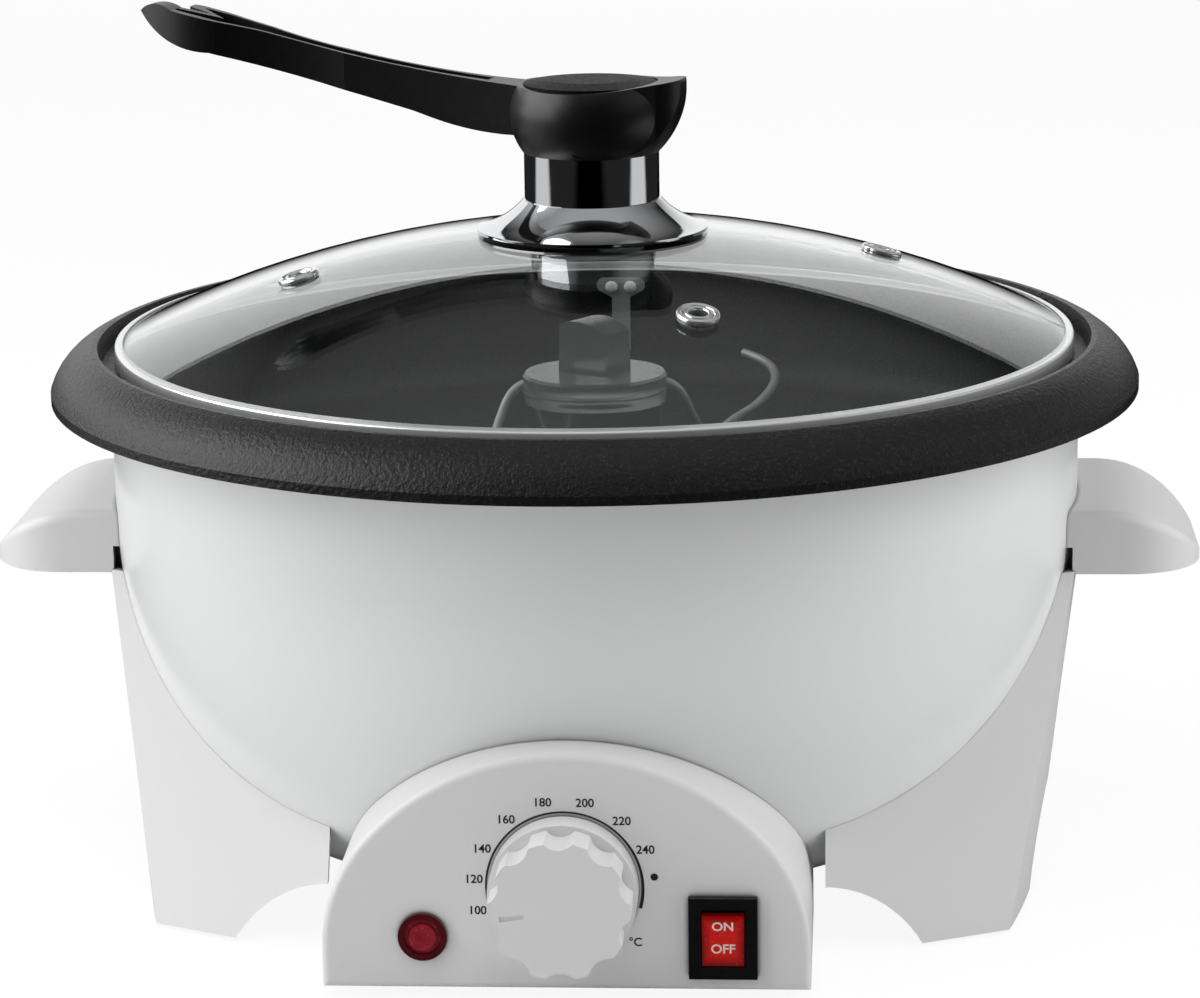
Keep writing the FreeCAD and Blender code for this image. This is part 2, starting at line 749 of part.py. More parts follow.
lever_sweep = S.lever_length * 3.18
lever_side_curve = S.lever_length * 2.2
lever_hollow = S.lever_length * 0.65
lever_foot = knob_base + 5.5
lever_top = lever_foot + S.lever_root_height
lever_end = lever_top + S.lever_rise
lever_side = padded("lever_side", "XZ_Plane", [[
    (-12, lever_foot - 0.6), (-12, lever_top - 3.0), (-20, lever_top - 2.6), right(lever_sweep),
    (-S.lever_length + 38.4, lever_top + 11.9), (-S.lever_length + 11.5, lever_end), left(9),
    (-S.lever_length, lever_end - 0.6), left(30), (-S.lever_length + 23, lever_end - 12.3),
    (-53, lever_foot + 5.6), (-47, lever_foot + 3.6), left(88), (-22, lever_foot - 0.6)]],
    60, 0, True)
prong = S.lever_length - 12.5
lever_plan = padded("lever_plan", "XY_Plane", [[
    (-10, -8.5), left(lever_side_curve), (-74, -S.lever_waist), left(lever_hollow),
    (-S.lever_length + 25, 1.0 - S.lever_half_width), right(30), (-S.lever_length, -4.0),
    right(3), (-S.lever_length + 4, -1.4), (-S.lever_length + 21, 1.2), (-prong, 4.4),
    (-prong, S.lever_half_width - 1), right(5), (-prong + 4.5, S.lever_half_width),
    right(40), (-S.lever_length + 25, S.lever_half_width - 1.0),
    left(lever_hollow),
    (-74, S.lever_waist), left(lever_side_curve), (-10, 8.5)]], 80, knob_base - 4)
lever_blank = common("lever_blank", [lever_side, lever_plan])
channel_side = padded("channel_side", "XZ_Plane", [[
    (-30, lever_top + 12), (-30, lever_top - 1.6), (-42, lever_top - 0.2 - S.lever_channel),
    (-66, lever_top + 3.8 - S.lever_channel),
    (-S.lever_length + 38.4, lever_top + 11.9 - S.lever_channel),
    (-S.lever_length + 11.5, lever_end - S.lever_channel),
    (-S.lever_length + 11.5, lever_end + 12)]], 60, 0, True)
channel_plan = padded("channel_plan", "XY_Plane", [[
    (-28, 1.8 - S.lever_waist), (-74, 1.8 - S.lever_waist), left(110),
    (-S.lever_length + 25, 3 - S.lever_half_width), (-S.lever_length + 12, -6.2),
    (-S.lever_length + 9, -3.6), (-S.lever_length + 25, -0.8), (-S.lever_length + 20, 3.4),
    (-S.lever_length + 16, S.lever_half_width - 2.6),
    (-S.lever_length + 25, S.lever_half_width - 3), left(110), (-74, S.lever_waist - 1.8),
    (-28, S.lever_waist - 1.8)]], 90, knob_base)
channel = common("lever_channel_tool", [channel_side, channel_plan])
lever = cut("lever_cut", lever_blank, [channel])
saddle_low = knob_top - S.saddle_drop
saddle = cylinder("saddle_tool", S.saddle_radius, 100, -4, -50, saddle_low + S.saddle_radius,
                  "y")
cap_seat = saddle_low - 1.6
cap_room = cylinder("cap_room", S.cap_radius + S.seat * 2, 20, 0, 0, cap_seat)
handle_blank = fused("handle_blank", [cut("knob_cut", knob_blank, [saddle]), lever])
lid_handle = keep(cut("lid_handle_cut", handle_blank, [cap_room]), "lid_handle")
lid_handle.Placement = Placement(Vector(), Rotation(Vector(0, 0, 1), SIZES["lever_turn"]))
cap_dome = doc.addObject("Part::Cone", "cap_dome")
bind(cap_dome, "Radius1", S.cap_radius)
bind(cap_dome, "Radius2", S.cap_radius * 0.6)
bind(cap_dome, "Height", S.cap_rise)
place(cap_dome, 0, 0, cap_seat + S.seat + S.cap_height)
handle_cap = keep(fused("handle_cap_fuse", [
    cylinder("cap_disc", S.cap_radius, S.cap_height, 0, 0, cap_seat + S.seat), cap_dome]),
    "handle_cap")

# ---------------------------------------------------------------- legs with their ear handles
# Each side is one hollow moulding: two flat flanks that meet the bowl in a curved seam, a
# bulging side between the creases, arches between the feet, and an ear to lift by.

foot_inner_x = S.bowl_radius - S.foot_inner_inset
foot_inner_y = S.bowl_radius - S.foot_inner_setback
foot_outer_x = S.bowl_radius - S.foot_outer_inset
foot_outer_y = S.bowl_radius - S.foot_outer_setback
leg_inner_x = S.bowl_radius - S.leg_inner_inset
flank_x = foot_outer_x - foot_inner_x
flank_y = foot_inner_y - foot_outer_y
flank_run = root(flank_x * flank_x + flank_y * flank_y)
flank_cos = flank_x / flank_run
flank_sin = flank_y / flank_run


def leg_section(level, inset):
    """Plan of the leg's blank at a height, drawn in by inset, for the side on +X."""
    back = level * tangent(S.flank_tilt) + inset
    line_x = foot_outer_x - back * flank_sin
    line_y = foot_outer_y - back * flank_cos
    crease = level / S.leg_height
    corner_x = foot_outer_x + crease * S.crease_run - inset
    corner_y = line_y - (corner_x - line_x) * flank_sin / flank_cos
    inner_y = corner_y + (corner_x - leg_inner_x) * flank_sin / flank_cos
    bulge = S.leg_side_bulge * (1 - crease * S.leg_side_flattening)
    side_radius = (corner_y * corner_y + bulge * bulge) / (2 * bulge)
    return [(leg_inner_x, -inner_y), (corner_x, -corner_y), left(side_radius),
            (corner_x, corner_y), (leg_inner_x, inner_y)]


def leg_blank(name, low, high, inset):
    body = doc.addObject("PartDesign::Body", name)
    bottom = new_sketch(body, name + "_bottom", "XY_Plane", low)
    draw(bottom, leg_section(low, inset))
    top = new_sketch(body, name + "_top", "XY_Plane", high)
    draw(top, leg_section(high, inset))
    loft = body.newObject("PartDesign::AdditiveLoft", name + "_loft")
    loft.Profile = (bottom, [""])
    loft.Sections = [(top, [""])]
    loft.Ruled = True
    return body


leg_top = S.ear_bottom + 0.6
leg_outer = leg_blank("leg_outer", S.foot_pad, leg_top, as_size(0))
leg_inner = leg_blank("leg_inner", S.foot_pad + S.leg_wall, leg_top - S.leg_wall, S.leg_wall)


ear_root_x = S.bowl_radius - 12
ear_arch = smaller(S.ear_arch, S.ear_reach - ear_root_x - 2)
ear_corner = smaller(S.ear_corner, S.ear_reach - ear_root_x - 2)


def ear_front(inset):
    """Front view of the ear: a wing whose level top curves down to the tip."""
    tip = S.ear_reach - inset
    bottom = S.ear_bottom - S.gap
    drop = S.ear_top - S.ear_bottom - S.ear_lip
    level_end = S.ear_reach - root(ear_arch * ear_arch - (ear_arch - drop) * (ear_arch - drop))
    return [(ear_root_x, bottom), (tip, bottom), (tip, S.ear_bottom + S.ear_lip),
            left(ear_arch - inset), (level_end, S.ear_top - inset),
            (ear_root_x, S.ear_top - inset)]


def ear_plan(inset):
    """Plan of the ear: straight front and back with rounded outer corners."""
    tip = S.ear_reach - inset
    half = S.ear_half_depth - inset
    corner = ear_corner - inset
    return [(ear_root_x - 2, -half), (tip - corner, -half), left(corner),
            (tip, -half + corner), (tip, half - corner), left(corner),
            (tip - corner, half), (ear_root_x - 2, half)]


def ear_blank(name, inset):
    front = padded(name + "_front", "XZ_Plane", [ear_front(inset)], S.ear_half_depth * 3, 0, True)
    plan = padded(name + "_plan", "XY_Plane", [ear_plan(inset)], 60, S.ear_bottom - 10)
    return common(name, [front, plan])


def ear_edge(one, other):
    """True between the ear's top and its upright front, back and tip."""
    tilt = sorted(facing(face, Vector(0, 0, 1)) for face in (one, other))
    inside = max(facing(face, Vector(-1, 0, 0)) for face in (one, other))
    return abs(tilt[0]) < 0.01 and tilt[1] > 0.1 and inside < 0.9


ear_outer = ear_blank("ear_outer", as_size(0))
ear_round = softened("ear_round", ear_outer, S.ear_edge, ear_edge)
back_low, back_corner, back_turn, back_side, back_high = bowl_curve(S.leg_wall)
ear_back = revolved("ear_back", [
    (0, back_low[1]), back_low, left(back_corner), back_turn, left(back_side), back_high,
    (S.bowl_radius + S.leg_wall, S.rim_height), (0, S.rim_height)])
ear_hollow = softened("ear_hollow_round", ear_blank("ear_hollow", S.leg_wall),
                      S.ear_edge - S.leg_wall, ear_edge)
ear_inner = cut("ear_inner", ear_hollow, [ear_back])

arch_front = padded("arch_front", "XZ_Plane", [[
    (leg_inner_x - 5, -5), (foot_inner_x + 4, -5), (foot_inner_x, S.foot_pad), left(38),
    (leg_inner_x + 1, S.arch_height), (leg_inner_x - 5, S.arch_height)]], 400, 0, True)
arch_side = padded("arch_side", "YZ_Plane", [[
    (-S.side_arch_half, -5), (S.side_arch_half, -5), (S.side_arch_half, S.foot_pad), left(24),
    (S.side_arch_half - 22, S.side_arch_height), (22 - S.side_arch_half, S.side_arch_height),
    left(24), (-S.side_arch_half, S.foot_pad)]], S.bowl_radius, leg_inner_x + 21)

leg_shell = cut("leg_shell", fused("leg_whole", [leg_outer, ear_round]), [leg_inner, ear_inner])

# Bosses inside the hollow leg take the screws that come from inside the bowl.
leg_bosses = []
leg_ways = []
for number, side_y in enumerate((-1, 1)):
    boss_y = side_y * S.leg_screw_y
    leg_bosses.append(cylinder("leg_boss_%d" % number, S.screw_radius + 2.5, leg_boss_length,
                               leg_boss_end, boss_y, S.leg_screw_z, "x"))
    leg_ways.append(cylinder("leg_screw_hole_%d" % number, S.screw_radius + S.seat,
                             leg_boss_length / 2, leg_boss_end + 8, boss_y, S.leg_screw_z, "x"))
boss_tools = common("leg_bosses", [fused("boss_pair", leg_bosses), leg_outer])

# A short slot beside the bowl at each end of the ear, where the moulding clears its shoulder.
relief_x = root(S.bowl_radius * S.bowl_radius - S.ear_half_depth * S.ear_half_depth)
leg_reliefs = []
for number, side_y in enumerate((-1, 1)):
    leg_reliefs.append(box("leg_relief_%d" % number, S.relief_width * 2, S.leg_wall * 3,
                           S.relief_height, relief_x, side_y * (S.ear_half_depth - S.leg_wall),
                           leg_top))
leg_handle = cut("leg_handle", fused("leg_with_bosses", [leg_shell, boss_tools]),
                 [bowl_room, arch_front, arch_side] + leg_ways + leg_reliefs)


def mirrored(name, source):
    piece = doc.addObject("Part::Mirroring", name)
    piece.Source = source
    piece.Normal = Vector(1, 0, 0)
    return piece


keep(leg_handle, "right_leg_handle")
keep(mirrored("leg_handle_mirror", leg_handle), "left_leg_handle")


# Pan-head screws, from inside the bowl into the legs' bosses.
leg_head_x = S.bowl_radius - 12.3
leg_screw_set = []
for side_x in (-1, 1):
    for side_y in (-1, 1):
        leg_screw_set.append(screw(
            "leg_screw_%d%d" % (side_x + 1, side_y + 1), S.screw_radius, 6.5, 1.6,
            side_x * leg_head_x, side_y * S.leg_screw_y, S.leg_screw_z, "x", side_x))
leg_screws = keep(group("leg_screws_group", leg_screw_set), "leg_screws")

pads = []
for side_x in (-1, 1):
    for side_y in (-1, 1):
        pads.append(cylinder("foot_pad_%d%d" % (side_x + 1, side_y + 1), S.foot_pad_radius,
                             S.foot_pad - S.seat, side_x * (foot_outer_x - S.foot_pad_inset),
                             side_y * (foot_outer_y - S.foot_pad_setback)))
rubber_feet = keep(group("rubber_feet_group", pads), "rubber_feet")

# ---------------------------------------------------------------- control housing
# A D-shaped moulding in front of the bowl, open at the back, that carries the controls.

def arch_outline(inset):
    """Three-centred arch on straight sides, drawn in by inset."""
    half = S.panel_half - inset
    small = S.panel_side_radius - inset
    big = ((S.panel_half * S.panel_half + S.panel_rise * S.panel_rise
            - 2 * S.panel_half * S.panel_side_radius)
           / (2 * (S.panel_rise - S.panel_side_radius)))
    reach = big - S.panel_side_radius
    across = S.panel_half - S.panel_side_radius
    down = big - S.panel_rise
    join_x = (big - inset) * across / reach
    join_z = S.panel_spring - down + (big - inset) * down / reach
    bottom = S.panel_bottom + inset
    return [(-half, bottom), (half, bottom), (half, S.panel_spring), left(small),
            (join_x, join_z), left(big - inset), (-join_x, join_z), left(small),
            (-half, S.panel_spring)]


def face_hole(name, radius, x, z):
    return cylinder(name, radius, S.panel_wall + 20, x, -panel_y - 10, z, "y")


housing_outer = padded("housing_outer", "XZ_Plane", [arch_outline(as_size(0))],
                       S.panel_depth, panel_y - S.panel_depth)


def face_edge(one, other):
    """True on the edges of the housing's front face."""
    return min(facing(one, Vector(0, 1, 0)), facing(other, Vector(0, 1, 0))) < -0.99


housing_round = softened("housing_round", housing_outer, S.panel_edge, face_edge)
housing_inner = padded("housing_inner", "XZ_Plane", [arch_outline(S.panel_wall)],
                       S.panel_depth + 5, panel_y - S.panel_wall - S.panel_depth - 5)
switch_room_x = S.switch_width - 3
switch_room_z = S.switch_height - 3
housing_tools = [
    housing_inner, bowl_room,
    face_hole("spindle_hole", S.spindle_radius + 1.5, 0, S.dial_height),
    face_hole("lamp_hole", S.lamp_radius - 1.2, -S.lamp_x, S.lamp_z),
    box("switch_hole", switch_room_x, 20, switch_room_z, S.switch_x, -panel_y,
        S.switch_z - switch_room_z / 2),
    box("housing_open_bottom", (S.panel_half - S.panel_wall) * 2, S.panel_depth, 10,
        0, -panel_y + S.panel_wall + S.panel_depth / 2 + 6, S.panel_bottom - 5)]
control_housing = keep(cut("control_housing_cut", housing_round, housing_tools),
                       "control_housing")
housing_cover = keep(box("housing_cover_box", (S.panel_half - S.panel_wall - S.seat) * 2,
                         S.panel_depth - S.panel_wall - 8, 2, 0,
                         -panel_y + S.panel_wall + S.panel_depth / 2 + 2, S.panel_bottom),
                     "housing_cover")

# ---------------------------------------------------------------- thermostat and its knob
# The capillary thermostat sits behind the face. Its spindle turns with the lobed knob.

thermostat_depth = as_size(14)
thermostat_front = -panel_y + S.panel_wall + S.seat
thermostat_body = keep(cut("thermostat_cut", fused("thermostat_blank", [
    box("thermostat_case", 32, thermostat_depth, 26, 0,
        thermostat_front + thermostat_depth / 2, S.dial_height - 13),
    cylinder("thermostat_neck", S.spindle_radius + 1.4, S.panel_wall + 4, 0,
             thermostat_front - S.panel_wall - 3, S.dial_height, "y")]),
    [cylinder("thermostat_bore", S.spindle_radius + S.seat, S.panel_wall + 12, 0,
              thermostat_front - S.panel_wall - 4, S.dial_height, "y")]), "thermostat_body")
spindle_length = as_size(24)
thermostat_spindle = keep(cylinder(
    "thermostat_spindle_rod", S.spindle_radius, spindle_length, 0,
    thermostat_front + 7 - spindle_length, S.dial_height, "y"), "thermostat_spindle")

dial_back = -panel_y - S.gap * 2
knob_front = dial_back - S.dial_reach
skirt_front = dial_back - S.dial_skirt
dial_skirt = cylinder("dial_skirt", S.dial_radius, S.dial_skirt, 0, skirt_front,
                      S.dial_height, "y")
dial_grip = cylinder("dial_grip", S.dial_grip, S.dial_reach - S.dial_skirt, 0, knob_front,
                     S.dial_height, "y")
dial_blank = fused("dial_blank", [dial_skirt, dial_grip])
scallop = as_size(5.2)
scallop_ring = S.dial_grip + scallop - 2.0
scallops = []
for angle in around(SIZES["dial_lobes"], 90):
    scallops.append(cylinder("scallop_%d" % angle, scallop, S.dial_reach - S.dial_skirt + 2,
                             scallop_ring * cosine(angle), knob_front - 2,
                             S.dial_height + scallop_ring * sine(angle), "y"))
dial_fluted = cut("dial_fluted", dial_blank, scallops + [
    cylinder("dial_bore", S.spindle_radius + S.seat, spindle_length, 0,
             thermostat_front + 7 - spindle_length - S.seat, S.dial_height, "y")])
recess = revolved("dial_recess", [
    (0, 0), (S.dial_radius - 2.4, 0), (S.dial_radius - 2.4, 5),
    (S.spindle_radius + 2.6, 5), (S.spindle_radius + 2.6, 3.6), (0, 3.6)])
recess.Placement = Placement(Vector(0, dial_back.value, S.dial_height.value),
                             Rotation(Vector(1, 0, 0), 90))
pointer = box("dial_pointer_box", 6.4, 0.8, 1.4, 12.6, 0, -0.7)
pointer_place = group("dial_pointer", [pointer])
pointer_place.Placement = Placement(
    Vector(0, knob_front.value, S.dial_height.value),
    Rotation(Vector(0, -1, 0), SIZES["dial_pointer"]))
temperature_knob = keep(cut("dial_finished", dial_fluted, [recess, pointer_place]),
                        "temperature_knob")
neck_radius = S.spindle_radius + 1.4
nut_front = -panel_y - S.seat
nut_blank = doc.addObject("Part::Prism", "nut_blank")
bind(nut_blank, "Circumradius", neck_radius + 3)
bind(nut_blank, "Height", 2.4)
nut_blank.Placement = Placement(Vector(), Rotation(Vector(1, 0, 0), 90))
place(nut_blank, 0, nut_front, S.dial_height)
thermostat_nut = keep(cut("thermostat_nut_cut", nut_blank, [
    cylinder("nut_bore", neck_radius + S.seat, 10, 0, -panel_y - 5, S.dial_height, "y")]),
    "thermostat_nut")

# ---------------------------------------------------------------- indicator lamp
lamp_bezel = keep(cut("lamp_bezel_cut", fused("lamp_bezel_blank", [
    cylinder("lamp_flange", S.lamp_radius, 1.4, -S.lamp_x, -panel_y - 1.4 - S.seat, S.lamp_z, "y"),
    cylinder("lamp_barrel", S.lamp_radius - 1.25, 16, -S.lamp_x, -panel_y - S.seat, S.lamp_z,
             "y")]), [cylinder("lamp_room", S.lamp_lens + S.seat, 30, -S.lamp_x,
                               -panel_y - 5, S.lamp_z, "y")]), "lamp_bezel")
lamp_lens = keep(fused("lamp_lens_fuse", [
    cylinder("lamp_lens_rod", S.lamp_lens, 12, -S.lamp_x, -panel_y - 0.6, S.lamp_z, "y"),
    cylinder("lamp_lens_step", S.lamp_lens - 1.2, 1.2, -S.lamp_x, -panel_y - 1.6,
             S.lamp_z, "y")]), "lamp_lens")

# ---------------------------------------------------------------- rocker switch
# The rocker tips on a pin inside its frame.

rocker_room_x = S.rocker_width + S.gap * 2
rocker_room_z = S.rocker_height + S.gap * 2
switch_frame = keep(cut("switch_frame_cut", fused("switch_frame_blank", [
    box("switch_bezel", S.switch_width, 2.2, S.switch_height, S.switch_x,
        -panel_y - 1.1 - S.seat, S.switch_z - S.switch_height / 2),
    box("switch_barrel", switch_room_x - S.gap, 18, switch_room_z - S.gap, S.switch_x,
        -panel_y + 9 - S.seat, S.switch_z - switch_room_z / 2 + S.gap / 2)]),
    [box("switch_room", rocker_room_x, 24, rocker_room_z, S.switch_x, -panel_y + 3,
         S.switch_z - rocker_room_z / 2)]), "switch_frame")
rocker_pin_y = -panel_y + 3.6
rocker_half = S.rocker_height / 2
rocker_section = padded("rocker_section", "YZ_Plane", [[
    (rocker_pin_y + 2.5, S.switch_z - 3.5), (rocker_pin_y + 2.5, S.switch_z + 3.5),
    (-panel_y + 0.5, S.switch_z + rocker_half - 0.35),
    (-panel_y - 2.6, S.switch_z + rocker_half - 0.9), right(38),
    (-panel_y - 2.6, S.switch_z - rocker_half + 0.9),
    (-panel_y + 0.5, S.switch_z - rocker_half + 0.35)]],
    S.rocker_width, S.switch_x - S.rocker_width / 2)
rocker = keep(cut("rocker_cut", rocker_section, [
    cylinder("rocker_bore", 1.0 + S.seat, 30, S.switch_x - 15, rocker_pin_y, S.switch_z, "x")]),
    "rocker")
pin_place = Vector(0, rocker_pin_y.value, S.switch_z.value)
rocker.Placement = Placement(Vector(), Rotation(Vector(1, 0, 0), SIZES["rocker_rest"]), pin_place)
rocker_pin = keep(cylinder("rocker_pin_rod", 1.0, rocker_room_x, S.switch_x - rocker_room_x / 2,
                           rocker_pin_y, S.switch_z, "x"), "rocker_pin")

# ---------------------------------------------------------------- drive under the pan
# A gear motor hangs on a plate that three tie rods carry between the bottom cover and the pan.

gearbox_bottom = S.gearbox_top - S.gearbox_height
bracket_top = gearbox_bottom - S.seat
shaft_bore = S.shaft_radius + S.seat
plate_screw_circle = S.gearbox_radius - 4
plate_screws = []
for angle in around(3, 30):
    plate_screws.append((plate_screw_circle * cosine(angle), plate_screw_circle * sine(angle)))
gearbox_blank = revolved("gearbox_case_body", [
    (0, gearbox_bottom), (S.gearbox_radius, gearbox_bottom),
    (S.gearbox_radius, S.gearbox_top - 2), (S.gearbox_radius - 2, S.gearbox_top),
    (shaft_bore + 4, S.gearbox_top), (shaft_bore + 4, S.gearbox_top + 3),
    (shaft_bore, S.gearbox_top + 3), (shaft_bore, gearbox_bottom + 4),
    (0, gearbox_bottom + 4)])
gearbox_ways = []
for number, (x, y) in enumerate(plate_screws):
    gearbox_ways.append(cylinder("gearbox_way_%d" % number, S.screw_radius + S.seat, 9, x, y,
                                 gearbox_bottom - 1))
gearbox_case = keep(cut("gearbox_case_cut", gearbox_blank, gearbox_ways), "gearbox_case")
motor_top = bracket_top - S.bracket_wall - S.seat
motor_body = keep(revolved("motor_body_body", [
    (0, motor_top - S.motor_height), (4, motor_top - S.motor_height),
    (4, motor_top - S.motor_height + 2), (S.motor_radius - 2, motor_top - S.motor_height + 2),
    (S.motor_radius, motor_top - S.motor_height + 4), (S.motor_radius, motor_top),
    (0, motor_top)]), "motor_body")
motor_spokes = []
for angle in around(3, 90):
    motor_spokes.append((S.rod_circle * cosine(angle), S.rod_circle * sine(angle)))
bracket_holes = [(x, y, S.rod_radius + S.seat) for x, y in motor_spokes]
bracket_holes += [(x, y, S.screw_radius + S.seat) for x, y in plate_screws]
motor_bracket = keep(padded(
    "motor_bracket_body", "XY_Plane", [], S.bracket_wall, bracket_top - S.bracket_wall, False,
    [(0, 0, S.rod_circle + 7)] + bracket_holes), "motor_bracket")

motor_screw_set = []
for number, (x, y) in enumerate(plate_screws):
    motor_screw_set.append(screw("motor_screw_%d" % number, S.screw_radius, 8, 1.6, x, y,
                                 bracket_top - S.bracket_wall - S.seat))
motor_screws = keep(group("motor_screws_group", motor_screw_set), "motor_screws")
bracket_nuts = []
for number, (x, y) in enumerate(motor_spokes):
    bracket_nuts.append(nut("nut_above_%d" % number, S.rod_radius, 3, x, y, bracket_top + S.seat))
    bracket_nuts.append(nut("nut_below_%d" % number, S.rod_radius, 3, x, y,
                            bracket_top - S.bracket_wall - S.seat - 3))
rod_nuts = keep(group("rod_nuts_group", bracket_nuts), "rod_nuts")
terminal_x = as_size(-46)
terminal_block = keep(cut("terminal_block_cut", box(
    "terminal_blank", 14, 36, 12, terminal_x, 0, bracket_top + S.seat), [
    box("terminal_gap_%d" % number, 16, 1.6, 8, terminal_x, 9.0 * (number - 1),
        bracket_top + 6) for number in range(3)]), "terminal_block")

shaft_top = boss_top + S.shaft_rise
drive_shaft = keep(cut("drive_shaft_cut", revolved("drive_shaft_blank", [
    (0, gearbox_bottom + 4 + S.gap), (S.shaft_radius, gearbox_bottom + 4 + S.gap),
    (S.shaft_radius, shaft_top - 0.8), (S.shaft_radius - 0.8, shaft_top), (0, shaft_top)]),
    [box("shaft_flat", 4, 12, 20, S.shaft_radius + 1, 0, boss_top + 3)]), "drive_shaft")
bush_outer = S.shaft_radius + S.bush_wall
shaft_bush = keep(revolved("shaft_bush_body", [
    (shaft_bore, pan_base - 2), (bush_outer, pan_base - 2), (bush_outer, boss_top + S.seat),
    (bush_outer + 2, boss_top + S.seat), (bush_outer + 2, boss_top + 0.8),
    (shaft_bore, boss_top + 0.8)]), "shaft_bush")
retaining_ring = keep(revolved("retaining_ring_body", [
    (S.shaft_radius + S.seat / 2, boss_top + 0.8 + S.gap), (S.shaft_radius + 2, boss_top + 0.8 + S.gap),
    (S.shaft_radius + 2, boss_top + 1.6 + S.gap), (S.shaft_radius + S.seat / 2, boss_top + 1.6 + S.gap)]),
    "retaining_ring")

# ---------------------------------------------------------------- stirrer
# A clear plastic hub that lifts off the shaft, with a finger grip, and two bent steel wires.

hub_seat = boss_top + 2.0 + S.gap
hub_bottom = boss_top + S.hub_rise
hub_top = hub_bottom + S.hub_height
grip_top = hub_top + S.grip_rise
hub_bore = S.shaft_radius + S.seat
sleeve = S.shaft_radius + 4
hub_cap = revolved("hub_cap", [
    (hub_bore, hub_seat), (sleeve, hub_seat), (sleeve, hub_bottom),
    (S.hub_radius - 0.4, hub_bottom), (S.hub_radius, hub_bottom + 3.2),
    (S.hub_radius - 0.9, hub_bottom + 3.6), (S.hub_radius - 0.9, hub_bottom + 4.2),
    (S.hub_radius, hub_bottom + 4.6), (S.hub_radius, hub_top - 0.8),
    (S.hub_radius - 0.8, hub_top), (0, hub_top), (0, shaft_top + 1),
    (hub_bore, shaft_top + 1)])
grip_turn = 32.0
grip_outline = [
    (-S.grip_length / 2, hub_top - 1), (S.grip_length / 2, hub_top - 1),
    (S.grip_length / 2 - 0.6, grip_top - 3.5), left(16),
    (-S.grip_length / 2 + 0.6, grip_top - 1.5)]
hub_grip = padded("hub_grip", "XZ_Plane", [grip_outline], S.grip_width, 0, True)
hub_grip.Placement = Placement(Vector(), Rotation(Vector(0, 0, 1), -grip_turn))
key_start = as_size(3.5)
hub_key = box("hub_key", 2, 7, S.shaft_rise - key_start - 0.5, S.shaft_radius + S.seat, 0,
              boss_top + key_start)
stirrer_hub = keep(fused("stirrer_hub_fuse", [hub_cap, hub_grip, hub_key]), "stirrer_hub")

skirt_top = hub_bottom - S.seat
skirt_inner = S.skirt_radius - 1
stirrer_skirt = keep(revolved("stirrer_skirt_body", [
    (sleeve + S.seat, skirt_top - 1), (skirt_inner, skirt_top - 1),
    (skirt_inner, S.pan_floor + 2.5), (S.skirt_radius, S.pan_floor + 2.5),
    (S.skirt_radius, skirt_top), (sleeve + S.seat, skirt_top)]), "stirrer_skirt")

wire_floor = S.pan_floor + S.wire_radius + S.wire_clearance
wire_end = pan_radius - S.wire_tip_inset
arm_places = [
    (S.hub_radius - 2.8, 3.1, hub_bottom + 5.6), (S.hub_radius + 3.2, 7.0, hub_bottom + 2.6),
    (S.hub_radius + 7.6, 15.0, hub_bottom - 5.5), (S.hub_radius + 14.0, 28.7, wire_floor + 3.6),
    (S.hub_radius + 26.0, 42.4, wire_floor), (wire_end - 58.3, 51.0, wire_floor + 0.4),
    (wire_end - 39.9, 55.3, wire_floor + 2.8), (wire_end - 21.5, 59.4, wire_floor + 5.4),
    (wire_end - 7.4, 64.5, wire_floor + 7.6), (wire_end, 70.5, wire_floor + 9.6)]


def wire_arm(turn_degrees):
    """One bent wire: out of the hub, down to the floor and round along the wall."""
    places = []
    for radius, turn, height in arm_places:
        spin = Rotation(Vector(0, 0, 1), turn_degrees + turn)
        places.append(spin.multVec(Vector(radius.value, 0, height.value)))
    return bent_rod(places, SIZES["wire_radius"])


stirrer_wires = doc.addObject("Part::Feature", "stirrer_wires_pair")
stirrer_wires.Shape = Part.makeCompound([wire_arm(0), wire_arm(180)])
keep(stirrer_wires, "stirrer_wires")

# ---------------------------------------------------------------- heating under the pan
# A tubular element under the pan's floor, three clamps, and a bright steel reflector below.

element_z = pan_base - S.element_radius - S.gap
heating_element = doc.addObject("Part::Torus", "heating_element_ring")
bind(heating_element, "Radius1", S.element_circle)
bind(heating_element, "Radius2", S.element_radius)
heating_element.Angle3 = 330
heating_element.Placement = Placement(Vector(), Rotation(Vector(0, 0, 1), 105))
place(heating_element, 0, 0, element_z)
keep(heating_element, "heating_element")

bulb_radius = as_size(2)
bulb_y = floor_edge - 8
sensor_bulb = keep(cylinder("sensor_bulb_rod", bulb_radius, 34, -17, -bulb_y,
                            pan_base - bulb_radius - S.seat, "x"), "sensor_bulb")
tube_radius = as_size(0.9)
tube_start = thermostat_front + thermostat_depth + S.gap
tube_places = [
    Vector(0, tube_start.value, S.dial_height.value),
    Vector(0, tube_start.value + 8, S.dial_height.value),
    Vector(6, -S.bowl_radius.value + 32, S.dial_height.value + 12),
    Vector(30, -S.bowl_radius.value + 26, S.dial_height.value + 40),
    Vector(34, -bulb_y.value, (pan_base - bulb_radius - 6).value),
    Vector(26, -bulb_y.value, (pan_base - bulb_radius - S.seat).value),
    Vector(17.4, -bulb_y.value, (pan_base - bulb_radius - S.seat).value)]

capillary_tube = doc.addObject("Part::Feature", "capillary_tube_sweep")
capillary_tube.Shape = bent_rod(tube_places, tube_radius.value)
keep(capillary_tube, "capillary_tube")

